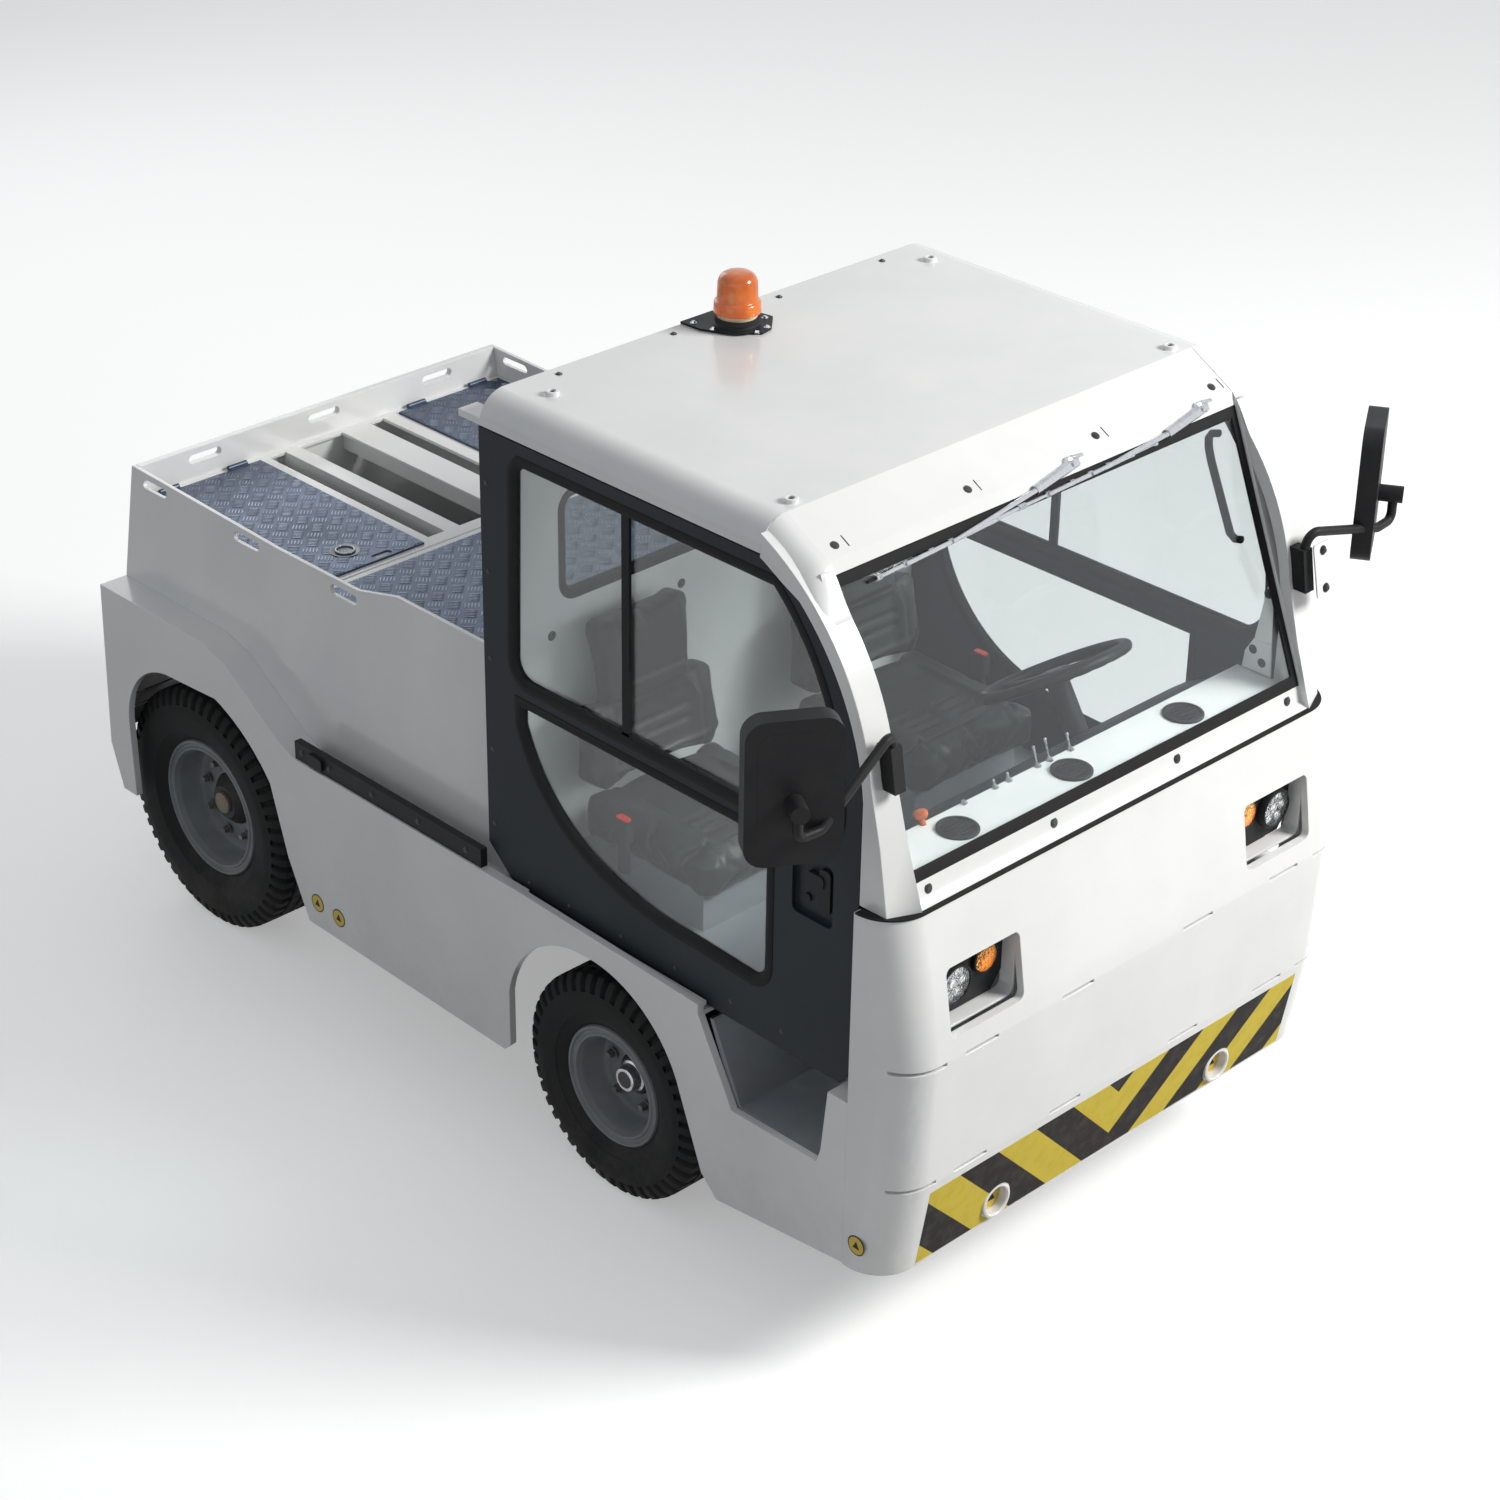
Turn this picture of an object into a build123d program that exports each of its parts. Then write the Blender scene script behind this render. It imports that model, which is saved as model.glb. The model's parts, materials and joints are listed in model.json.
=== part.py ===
from build123d import *
import math
import os

# Airport baggage tug with a sliding-door cab.
# Millimetres; +Z up, floor at Z = 0, the nose points to -Y, the vehicle's left side is +X.
# The origin lies on the floor under the middle of the overall box.

# ---------------------------------------------------------------- driving sizes
half_width = 750.0          # outer face of fenders and nose corners
plate = 20.0                # heavy outer plate of nose and sides
sheet = 12.0                # lighter sheet of deck walls and shoulders
gap = 6.0                   # running gap beside moving panels
seat_gap = 0.3              # between a moving piece and what carries it

nose_y = -1505.0            # foremost fold of the nose
rear_y = 1437.0             # outer face of the rear wall
hitch_reach = 68.0          # towing jaw behind the rear wall
hitch_y = rear_y + hitch_reach
nose_split_y = nose_y + 170.0       # joint between nose panel and side panels
nose_top_z = 1180.0

front_axle_y = -519.0
rear_axle_y = 1117.0
front_tyre_r = 292.0
rear_tyre_r = 344.0
front_tyre_w = 176.0
rear_tyre_w = 190.0
front_wheel_x = half_width - 125.0  # middle of the tread
rear_wheel_x = half_width - 150.0
kingpin_x = front_wheel_x - 125.0
steer_arm = 150.0
beam_h = 80.0               # front axle beam
beam_pad = 10.0             # between the beam and the frame

ledge_w = 84.0              # from the fender's face in to the upper wall
wall_lean = 45.0            # how far the wall leans in from shoulder to top
wall_x = half_width - ledge_w
wall_top_x = wall_x - wall_lean
shoulder_z = 926.0
wall_top_z = 1231.0
wall_front_z = wall_top_z + 19.0    # raised part beside the cover
deck_z = 1140.0             # deck frame's top
tread_t = 6.0               # chequer plate of cover and hatches
cover_z = deck_z + tread_t  # chequer cover's top
partition_y = 645.0         # bulkhead between deck and cover
ledge_z = 738.0             # ledge that carries the door rail
sill_z = ledge_z - 40.0     # floor of the door's slot

cab_back_y = -131.0         # rear face of the cab
cab_wall = 25.0
floor_t = 22.0
platform_z = sill_z + 24.0  # floor under the seats
footwell_z = 495.0          # floor in front of the seats
roof_z = 1955.0
roof_t = 24.0
roof_drop = 5.0             # how far the roof falls towards its front fold
roof_fold_y = -1015.0
gutter_x = half_width - 26.0
gutter_in_x = gutter_x - 56.0
gutter_z = roof_z - 75.0
gutter_lip = 14.0
roof_flat_x = gutter_x - 77.0
roof_under_x = roof_flat_x - 10.0

door_x = half_width - 34.0  # outer face of the doors
door_t = 26.0
door_rear_y = cab_back_y + 16.0
door_front_y = nose_split_y + 18.0
door_bottom_z = sill_z + 7.0
door_bend_z = 1426.0        # where the front edge starts to sweep back
door_bend_y = door_front_y + 277.0  # where that sweep meets the top edge
mid_rail_z = 1226.0         # lower edge of the rail between the windows
door_travel = 680.0
ledge_end_y = door_rear_y + door_travel + 47.0      # rear end of the door's slot
slot_out_x = door_x + gap

glass_t = 8.0
post_in_x = gutter_x - 74.0
screen_x = post_in_x - 0.5
screen_foot = (nose_y + 110.0, nose_top_z + 46.0)   # windscreen's lower edge, Y and Z
screen_head = (nose_y + 363.0, roof_z - 106.0)

frame_x = 320.0             # inner face of the frame plates
frame_t = 25.0
frame_bottom_z = front_tyre_r + beam_h / 2 + beam_pad
frame_rear_z = rear_tyre_r + 86.0
frame_top_z = platform_z - floor_t

seat_x = 350.0              # seat centres, each side of the middle
wheel_hub = (300.0, -959.0, 1219.0)  # steering wheel's centre
wheel_tilt = 32.0

mirror_x = half_width + 178.0
mirror_y = nose_split_y + 20.0
mirror_turn = 32.0

os.makedirs("parts", exist_ok=True)


def save(piece, name):
    """Label a finished piece and write it as one STEP file."""
    piece.label = name
    export_step(piece, f"parts/{name}.step")


def save_sides(piece, name):
    """Write a right-hand piece and its mirror image on the left."""
    save(piece, f"{name}_right")
    save(piece.mirror(Plane.YZ), f"{name}_left")


def outline(*points):
    """Closed face through a few corner points of the sketch's own plane."""
    Polygon(*points, align=None)


def wall_at(z):
    """Half the width over the leaning upper walls at a height above the shoulder."""
    return wall_x - wall_lean * (z - shoulder_z) / (wall_top_z - shoulder_z)


def between_walls(low_z, high_z):
    """Closed face that fills the width between the upper walls, from low to high."""
    foot, top = wall_x - sheet, wall_at(high_z) - sheet
    outline(
        (-foot, low_z), (foot, low_z), (foot, shoulder_z), (top, high_z),
        (-top, high_z), (-foot, shoulder_z),
    )


def by_wheel(axle_y, tread_r, *offsets):
    """Points in Y and Z given by their offsets from a wheel's centre."""
    return [(axle_y + back, tread_r + up) for back, up in offsets]


# ---------------------------------------------------------------- chassis frame
# Two deep plates side by side, joined by cross plates and a tray under the battery.
tray_t = 20.0
bay_front_y = -90.0
frame_front_y = nose_split_y - 65.0
footwell_foot_y = -990.0    # where the footwell's floor turns up
footwell_top_y = footwell_foot_y + 112.0
with BuildPart() as chassis_frame:
    for side in (-1, 1):
        with BuildSketch(Plane.YZ.offset(side * frame_x)):
            outline(
                (frame_front_y, frame_bottom_z), (frame_front_y, footwell_z - floor_t - 3),
                (footwell_foot_y + 18, footwell_z - floor_t - 3), (footwell_top_y + 20, frame_top_z),
                (rear_y - plate, frame_top_z), (rear_y - plate, frame_rear_z),
                (rear_axle_y - rear_tyre_r - 13, frame_rear_z),
                (rear_axle_y - rear_tyre_r - 73, frame_bottom_z),
            )
        extrude(amount=side * frame_t)
    for y, low, high in (
        (frame_front_y, frame_bottom_z, footwell_z - floor_t - 3),
        (front_axle_y - 101, frame_bottom_z + 60, frame_top_z - 60),
        (bay_front_y - 30, frame_bottom_z, frame_top_z),
        (partition_y, frame_bottom_z, frame_top_z),
        (rear_y - 2 * plate, frame_rear_z, frame_top_z),
    ):
        with Locations((0, y + plate / 2, (low + high) / 2)):
            Box(2 * frame_x, plate, high - low)
    with Locations((0, (bay_front_y - 10 + partition_y) / 2, frame_bottom_z + tray_t / 2)):
        Box(2 * frame_x, partition_y - bay_front_y + 10, tray_t)
save(chassis_frame.part, "chassis_frame")

# The drive battery, one closed box standing on the tray.
battery_top_z = 1020.0
with BuildPart() as battery_pack:
    with Locations((0, (bay_front_y + partition_y) / 2, (frame_bottom_z + tray_t + battery_top_z) / 2)):
        Box(
            2 * frame_x - 30,
            partition_y - bay_front_y - 30,
            battery_top_z - frame_bottom_z - tray_t,
        )
save(battery_pack.part, "battery_pack")

# ---------------------------------------------------------------- front axle and steering
axle_z = front_tyre_r
beam_d = 100.0
kingpin_r = 15.0
boss_r = 35.0
lug_t = 18.0
lug_gap = 5.0
lug_low = axle_z - beam_h / 2 - lug_gap
lug_high = axle_z + beam_h / 2 + lug_gap
web_x = boss_r + 8.0        # from the kingpin to the knuckle's web
spindle_r = 22.0
pin_r = 8.0
with BuildPart() as front_axle:
    with Locations((0, front_axle_y, axle_z)):
        Box(2 * (kingpin_x - 10), beam_d, beam_h)
    with Locations((-kingpin_x, front_axle_y, axle_z), (kingpin_x, front_axle_y, axle_z)):
        Cylinder(boss_r, beam_h)
        Cylinder(kingpin_r, beam_h + 2 * (lug_gap + lug_t))
    for side in (-1, 1):
        with Locations((side * (frame_x + frame_t / 2), front_axle_y, frame_bottom_z - beam_pad / 2)):
            Box(frame_t + 40, beam_d, beam_pad)
save(front_axle.part, "front_axle")

with BuildPart() as knuckle:
    for low in (lug_low - lug_t, lug_high):
        with BuildSketch(Plane.XY.offset(low)):
            with Locations((-kingpin_x, front_axle_y)):
                Circle(boss_r)
            with Locations((-kingpin_x - web_x / 2, front_axle_y)):
                Rectangle(web_x, 2 * boss_r)
        extrude(amount=lug_t)
    with Locations((-kingpin_x - web_x - 10, front_axle_y, axle_z)):
        Box(20, 2 * boss_r, lug_high - lug_low + 2 * lug_t)
    with BuildSketch(Plane.YZ.offset(-kingpin_x - web_x - 20)):
        with Locations((front_axle_y, axle_z)):
            Circle(spindle_r)
    extrude(amount=-(front_wheel_x + 30 - kingpin_x - web_x - 20))
    with BuildSketch(Plane.XY.offset(lug_high)):
        with Locations((-kingpin_x, front_axle_y + steer_arm / 2)):
            Rectangle(36, steer_arm)
        with Locations((-kingpin_x, front_axle_y + steer_arm)):
            Circle(18)
    extrude(amount=lug_t)
    with BuildSketch(Plane.XY.offset(lug_high)):
        with Locations((-kingpin_x, front_axle_y + steer_arm)):
            Circle(pin_r)
    extrude(amount=-28)
    with BuildSketch(Plane.XY.offset(lug_low - lug_t)):
        with Locations((-kingpin_x, front_axle_y)):
            Circle(kingpin_r + 0.3)
    extrude(amount=lug_high - lug_low + 2 * lug_t, mode=Mode.SUBTRACT)
save_sides(knuckle.part, "knuckle")

# Track rod under the two steering arms.
rod_z = lug_high - 15.0
rod_y = front_axle_y + steer_arm
with BuildPart() as tie_rod:
    with BuildSketch(Plane.YZ.offset(-kingpin_x + 14)):
        with Locations((rod_y, rod_z)):
            Circle(9)
    extrude(amount=2 * kingpin_x - 28)
    with BuildSketch(Plane.XY.offset(rod_z - 9)):
        with Locations((-kingpin_x, rod_y), (kingpin_x, rod_y)):
            Circle(17)
    extrude(amount=18)
    with BuildSketch(Plane.XY.offset(rod_z - 9)):
        with Locations((-kingpin_x, rod_y), (kingpin_x, rod_y)):
            Circle(pin_r + 0.3)
    extrude(amount=18, mode=Mode.SUBTRACT)
save(tie_rod.part, "tie_rod")

# ---------------------------------------------------------------- rear axle
rear_z = rear_tyre_r
tube_r = 55.0
rear_spindle_r = 40.0
disc_in = 20.0              # rim's disc, inboard of the tread's middle
hub_in = 30.0               # hub's reach inboard of the disc
rear_flange_x = rear_wheel_x - disc_in - hub_in - seat_gap
with BuildPart() as rear_axle:
    with BuildSketch(Plane.YZ.offset(-rear_flange_x)):
        with Locations((rear_axle_y, rear_z)):
            Circle(tube_r)
    extrude(amount=2 * rear_flange_x)
    with BuildSketch(Plane.YZ.offset(-rear_wheel_x - 20)):
        with Locations((rear_axle_y, rear_z)):
            Circle(rear_spindle_r)
    extrude(amount=2 * (rear_wheel_x + 20))
    with BuildSketch(Plane.YZ.offset(-90)):
        with Locations((rear_axle_y, rear_z)):
            Circle(130)
    extrude(amount=180)
    for side in (-1, 1):
        with Locations((side * (frame_x + frame_t / 2), rear_axle_y, (rear_z + frame_rear_z) / 2)):
            Box(frame_t + 30, 110, frame_rear_z - rear_z)
save(rear_axle.part, "rear_axle")

# ---------------------------------------------------------------- wheels
# Columns: end, tread radius, tread width, rim flange radius, half the rim's width between
# flanges, spindle radius, X and Y of the wheel.
wheel_table = (
    ("front", front_tyre_r, front_tyre_w, 157.0, 62.0, spindle_r, front_wheel_x, front_axle_y),
    ("rear", rear_tyre_r, rear_tyre_w, 194.0, 62.0, rear_spindle_r, rear_wheel_x, rear_axle_y),
)
flange_t = 7.0
bead_drop = 22.0            # flange radius less the bead's seat
rim_wall = 8.0
disc_t = 8.0                # half the disc's thickness
hub_out = 40.0
hub_wall = 24.0
for end, tread_r, tread_w, flange_r, seat, axle_r, wx, wy in wheel_table:
    bead_r = flange_r - bead_drop
    half_w = tread_w / 2
    place = Plane(origin=(-wx, wy, tread_r), x_dir=(-1, 0, 0), z_dir=(0, -1, 0))
    spin = Axis((-wx, wy, tread_r), (1, 0, 0))
    with BuildPart() as tyre:
        with BuildSketch(place):
            with BuildLine():
                Line((-seat, bead_r), (seat, bead_r))
                Line((seat, bead_r), (seat, flange_r + 1))
                ThreePointArc(
                    (seat, flange_r + 1), (half_w, (flange_r + tread_r) / 2),
                    (half_w - 10, tread_r - 18),
                )
                Line((half_w - 10, tread_r - 18), (half_w - 24, tread_r))
                Line((half_w - 24, tread_r), (24 - half_w, tread_r))
                Line((24 - half_w, tread_r), (10 - half_w, tread_r - 18))
                ThreePointArc(
                    (10 - half_w, tread_r - 18), (-half_w, (flange_r + tread_r) / 2),
                    (-seat, flange_r + 1),
                )
                Line((-seat, flange_r + 1), (-seat, bead_r))
            make_face()
        revolve(axis=spin)
    save_sides(tyre.part, f"tyre_{end}")

    skin_r = bead_r - seat_gap
    hub_r = axle_r + hub_wall
    with BuildPart() as rim:
        with BuildSketch(place):
            outline(
                (-seat - flange_t, flange_r), (-seat, flange_r), (-seat, skin_r),
                (seat, skin_r), (seat, flange_r), (seat + flange_t, flange_r),
                (seat + flange_t, skin_r - rim_wall), (disc_t - disc_in, skin_r - rim_wall),
                (disc_t - disc_in, hub_r), (hub_out - disc_in, hub_r),
                (hub_out - disc_in, axle_r + 0.5), (-hub_in - disc_in, axle_r + 0.5),
                (-hub_in - disc_in, hub_r), (-disc_t - disc_in, hub_r),
                (-disc_t - disc_in, skin_r - rim_wall), (-seat - flange_t, skin_r - rim_wall),
            )
        revolve(axis=spin)
    save_sides(rim.part, f"rim_{end}")

# ---------------------------------------------------------------- side panels
# Each side has a leaning upper wall and, outside it, the heavy plate with its wheel arches,
# joined by the shoulder, the ledge and the slot in which the door runs.
# The shoulder rises from the ledge over the rear wheel and runs level to the rear wall.
shoulder = ((679.0, 766.0), (886.0, 899.0), (989.0, shoulder_z), (rear_y, shoulder_z))
# Columns: Y, height of each lashing slot's middle.
lashing_slots = ((530.0, 1186.0), (929.0, 1190.0), (1330.0, 1200.0))
slot_l, slot_h = 105.0, 24.0
wall_step_y = 330.0         # the top edge steps down behind this
# Upper wall: upright to the shoulder, leaning in above it.
with BuildPart() as side_wall:
    with BuildSketch(Plane.XZ.offset(-rear_y)):
        outline(
            (-wall_x, sill_z - sheet), (-wall_x, shoulder_z), (-wall_at(wall_front_z), wall_front_z),
            (sheet - wall_at(wall_front_z), wall_front_z), (-wall_x + sheet, shoulder_z),
            (-wall_x + sheet, sill_z - sheet),
        )
    extrude(amount=rear_y - cab_back_y)
    with BuildSketch(Plane.YZ.offset(-half_width)):
        outline(
            (cab_back_y, sill_z - sheet), (cab_back_y, wall_front_z),
            (wall_step_y, wall_front_z), (wall_step_y + 150, wall_top_z - 16),
            (wall_step_y + 475, wall_top_z - 17), (rear_y, wall_top_z),
            *[(y, z - sheet) for y, z in reversed(shoulder)], (ledge_end_y, sill_z - sheet),
        )
    extrude(amount=half_width, mode=Mode.INTERSECT)
    with BuildSketch(Plane.YZ.offset(-half_width)):
        with Locations(*lashing_slots):
            SlotOverall(slot_l, slot_h)
    extrude(amount=half_width, mode=Mode.SUBTRACT)
    # rail that carries the cover
    rail_x = wall_at(deck_z)
    with BuildSketch(Plane.XZ.offset(-partition_y)):
        outline(
            (-rail_x + 2, deck_z), (sheet + 30 - rail_x, deck_z),
            (sheet + 30 - rail_x, deck_z - 24), (-rail_x + 2, deck_z - 24),
        )
    extrude(amount=partition_y - cab_back_y)
save_sides(side_wall.part, "side_wall")

front_arch = by_wheel(
    front_axle_y, front_tyre_r, (303, 147), (203, 316), (40, 377), (-171, 323), (-282, 191)
)
rear_arch = by_wheel(
    rear_axle_y, rear_tyre_r, (235, 187), (179, 346), (41, 418), (-178, 433), (-299, 372),
    (-399, 276),
)
step_rear_y = -870.0        # rear end of the entry step's opening
step_front_y = -1276.0
ledge_front_y = -268.0      # the ledge slopes down in front of this
ledge_low_z = ledge_z - 16.0
ledge_foot_z = ledge_z - 28.0
with BuildPart() as body_side:
    with BuildSketch(Plane.YZ.offset(-half_width)):
        with BuildLine():
            Polyline(
                (ledge_end_y, ledge_z), *shoulder, (rear_y + 13, 444), (rear_y - 32, 316),
                (rear_y - 92, 316), rear_arch[0],
            )
            ThreePointArc(*rear_arch[:3])
            Line(rear_arch[2], rear_arch[3])
            ThreePointArc(*rear_arch[3:])
            Polyline(
                rear_arch[-1], (657, 428), (580, 271), (-194, 262), (-216, 284), front_arch[0]
            )
            ThreePointArc(*front_arch[:3])
            ThreePointArc(*front_arch[2:])
            Polyline(
                front_arch[-1], (-885, 271), (-936, 221), (nose_split_y, 272),
                (nose_split_y, sill_z), (step_front_y, sill_z), (step_front_y + 17, 534),
                (step_front_y + 29, 498), (step_rear_y - 112, 493), (step_rear_y, sill_z),
                (step_rear_y, ledge_low_z), (ledge_front_y, ledge_z), (ledge_end_y, ledge_z),
            )
        make_face()
    extrude(amount=plate)
    # shoulder over the rear wheel
    with BuildSketch(Plane.YZ.offset(-half_width + plate)):
        outline(
            (ledge_end_y, ledge_z), *shoulder,
            *[(y, z - sheet) for y, z in reversed(shoulder)], (ledge_end_y, ledge_z - sheet),
        )
    extrude(amount=half_width - plate - wall_x)
    # ledge outside the slot, and the slot's floor
    lip_x = (slot_out_x + half_width - plate) / 2
    with Locations((-lip_x, (ledge_end_y + step_rear_y) / 2, ledge_low_z - sheet / 2)):
        Box(half_width - plate - slot_out_x, ledge_end_y - step_rear_y, sheet)
    lip_x = (slot_out_x + half_width) / 2
    with Locations((-lip_x, (ledge_end_y + ledge_front_y) / 2, (ledge_z + ledge_foot_z) / 2)):
        Box(half_width - slot_out_x, ledge_end_y - ledge_front_y, ledge_z - ledge_foot_z)
    for y0, y1 in ((step_rear_y, ledge_end_y), (nose_split_y, step_front_y)):
        with Locations((-(wall_x + half_width - plate) / 2, (y0 + y1) / 2, sill_z - sheet / 2)):
            Box(half_width - plate - wall_x, y1 - y0, sheet)
    # end of the slot
    end_mid = (
        -(wall_x + half_width - plate) / 2, ledge_end_y - sheet / 2, (sill_z - sheet + ledge_z) / 2
    )
    with Locations(end_mid):
        Box(half_width - plate - wall_x, sheet, ledge_z - sill_z + sheet)
save_sides(body_side.part, "body_side")

# ---------------------------------------------------------------- nose panel
# Heavy plate folded twice across its height and bent round both front corners.
# Columns of the sections: height, foremost Y.
fold_z, low_fold_z = 827.0, 514.0
nose_foot = (268.0, nose_y + 55.0)
nose_sections = (
    (nose_top_z, nose_y + 64.0), (1042.0, nose_y + 31.0), (881.0, nose_y + 5.0),
    (fold_z, nose_y), (low_fold_z, nose_y + 15.0), nose_foot,
)
corner_r = 100.0
with BuildPart() as nose_panel:
    for height, front in nose_sections:
        with BuildSketch(Plane.XY.offset(height)):
            with BuildLine():
                for side in (-1, 1):
                    bend = (side * (half_width - corner_r), front + corner_r)
                    for radius in (corner_r, corner_r - plate):
                        foot = (bend[0] + side * radius, bend[1])
                        middle = (
                            bend[0] + side * radius * math.sqrt(0.5),
                            bend[1] - radius * math.sqrt(0.5),
                        )
                        Line((foot[0], nose_split_y), foot)
                        ThreePointArc(foot, middle, (bend[0], bend[1] - radius))
                    Line(
                        (side * half_width, nose_split_y),
                        (side * (half_width - plate), nose_split_y),
                    )
                flat = half_width - corner_r
                Line((-flat, front), (flat, front))
                Line((-flat, front + plate), (flat, front + plate))
            make_face()
    loft(ruled=True)
    # recesses for the lamps, with a window through the plate
    lamp_out_x = half_width - 139.0
    lamp_in_x = lamp_out_x - 229.0
    lamp_low_z, lamp_high_z = 881.0, 1042.0
    lamp_back_y = nose_y + 80.0
    lamp_rim = 6.0
    lamp_mid_x = (lamp_in_x + lamp_out_x) / 2
    lamp_mid_z = (lamp_low_z + lamp_high_z) / 2
    for side in (-1, 1):
        with BuildSketch(Plane.XZ.offset(-lamp_back_y)):
            with Locations((side * lamp_mid_x, lamp_mid_z)):
                Rectangle(
                    lamp_out_x - lamp_in_x + 2 * lamp_rim, lamp_high_z - lamp_low_z + 2 * lamp_rim
                )
        extrude(amount=40)
        with BuildSketch(Plane.XZ.offset(-lamp_back_y)):
            with Locations((side * lamp_mid_x, lamp_mid_z)):
                RectangleRounded(lamp_out_x - lamp_in_x, lamp_high_z - lamp_low_z, 18)
        extrude(amount=120, mode=Mode.SUBTRACT)
    # round towing pockets in the lower fold
    pocket_x, pocket_z, pocket_r = 389.0, 327.0, 40.0
    with BuildSketch(Plane.XZ.offset(-nose_y - 105)):
        with Locations((-pocket_x, pocket_z), (pocket_x, pocket_z)):
            Circle(pocket_r)
    extrude(amount=120, mode=Mode.SUBTRACT)
    # relief slits at both folds
    slit_l, slit_h = 104.0, 8.0
    corner_slit_x = half_width - corner_r - 23.0
    for z in (fold_z, low_fold_z):
        for x in (206.0, 517.0):
            with Locations((x, nose_y, z), (-x, nose_y, z)):
                Box(slit_l, 120, slit_h, mode=Mode.SUBTRACT)
        # the same slit runs round each front corner
        for side in (-1, 1):
            with Locations((side * (corner_slit_x + half_width) / 2, nose_y + 15, z)):
                Box(half_width - corner_slit_x, corner_r, slit_h, mode=Mode.SUBTRACT)
save(nose_panel.part, "nose_panel")

# ---------------------------------------------------------------- lamps
with BuildPart() as headlamps:
    for side in (-1, 1):
        with Locations((side * lamp_mid_x, lamp_back_y + 3, lamp_mid_z)):
            Box(
                lamp_out_x - lamp_in_x + 2 * lamp_rim, 6,
                lamp_high_z - lamp_low_z + 2 * lamp_rim,
            )
        with BuildSketch(Plane.XZ.offset(-lamp_back_y)):
            with Locations((side * (lamp_out_x - 66), lamp_mid_z)):
                Circle(45)
        extrude(amount=28)
save(headlamps.part, "headlamps")

with BuildPart() as indicators:
    with BuildSketch(Plane.XZ.offset(-lamp_back_y)):
        with Locations((-lamp_in_x - 62, lamp_mid_z + 22), (lamp_in_x + 62, lamp_mid_z + 22)):
            Circle(34)
    extrude(amount=24)
save(indicators.part, "indicators")

# ---------------------------------------------------------------- rear wall
# The wall closes the fenders down to the tyres and goes on between them to the hitch.
rear_step_z = rear_tyre_r + 196.0   # clear above the tyres' rear
rear_foot_z = 317.0
rear_foot_x = rear_wheel_x - rear_tyre_w / 2 - 25.0
with BuildPart() as rear_panel:
    with BuildSketch(Plane.XZ.offset(-rear_y)):
        fender_x = half_width - plate
        between_walls(shoulder_z - sheet, wall_top_z)
        outline(
            (-fender_x, rear_step_z), (fender_x, rear_step_z),
            (fender_x, shoulder_z - sheet), (-fender_x, shoulder_z - sheet),
        )
        outline(
            (-rear_foot_x, rear_foot_z), (rear_foot_x, rear_foot_z),
            (rear_foot_x, rear_step_z), (-rear_foot_x, rear_step_z),
        )
        with Locations((-400, wall_top_z - 31), (0, wall_top_z - 31), (400, wall_top_z - 31)):
            SlotOverall(slot_l, slot_h, mode=Mode.SUBTRACT)
    extrude(amount=plate)
save(rear_panel.part, "rear_panel")

with BuildPart() as rear_lamps:
    for side in (-1, 1):
        with Locations((side * (half_width - 90), rear_y + 12, 800)):
            Box(90, 24, 190)
        with Locations((side * (half_width - 90), rear_y + 15, 800)):
            Box(74, 30, 174)
save(rear_lamps.part, "rear_lamps")

# ---------------------------------------------------------------- towing jaw
jaw_t = 14.0
jaw_levels = (340.0, 410.0, 480.0, 550.0)
jaw_w = 130.0
jaw_plate_t = 15.0
jaw_corner_r = 14.0
pin_y = hitch_y - 25.0
hitch_pin_r = 12.0
with BuildPart() as tow_hitch:
    with Locations((0, rear_y + jaw_plate_t / 2, (jaw_levels[0] + jaw_levels[-1]) / 2)):
        Box(jaw_w + 50, jaw_plate_t, jaw_levels[-1] - jaw_levels[0] + 40)
    for level in jaw_levels:
        with BuildSketch(Plane.XY.offset(level - jaw_t / 2)):
            with Locations((0, (rear_y + jaw_plate_t + hitch_y) / 2)):
                RectangleRounded(jaw_w, hitch_reach - jaw_plate_t, jaw_corner_r)
            with Locations((0, rear_y + jaw_plate_t + jaw_corner_r / 2)):
                Rectangle(jaw_w, jaw_corner_r)
            with Locations((0, pin_y)):
                Circle(hitch_pin_r + 0.5, mode=Mode.SUBTRACT)
        extrude(amount=jaw_t)
save(tow_hitch.part, "tow_hitch")

with BuildPart() as hitch_pin:
    with BuildSketch(Plane.XY.offset(jaw_levels[0] - 30)):
        with Locations((0, pin_y)):
            Circle(hitch_pin_r)
    extrude(amount=jaw_levels[-1] - jaw_levels[0] + 37 + 12)
    with BuildSketch(Plane.XY.offset(jaw_levels[-1] + jaw_t / 2)):
        with Locations((0, pin_y)):
            Circle(20)
    extrude(amount=12)
    with BuildSketch(Plane.XZ.offset(-pin_y)):
        with Locations((0, jaw_levels[-1] + 45)):
            Circle(34)
            Circle(24, mode=Mode.SUBTRACT)
    extrude(amount=5, both=True)
save(hitch_pin.part, "hitch_pin")

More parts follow.
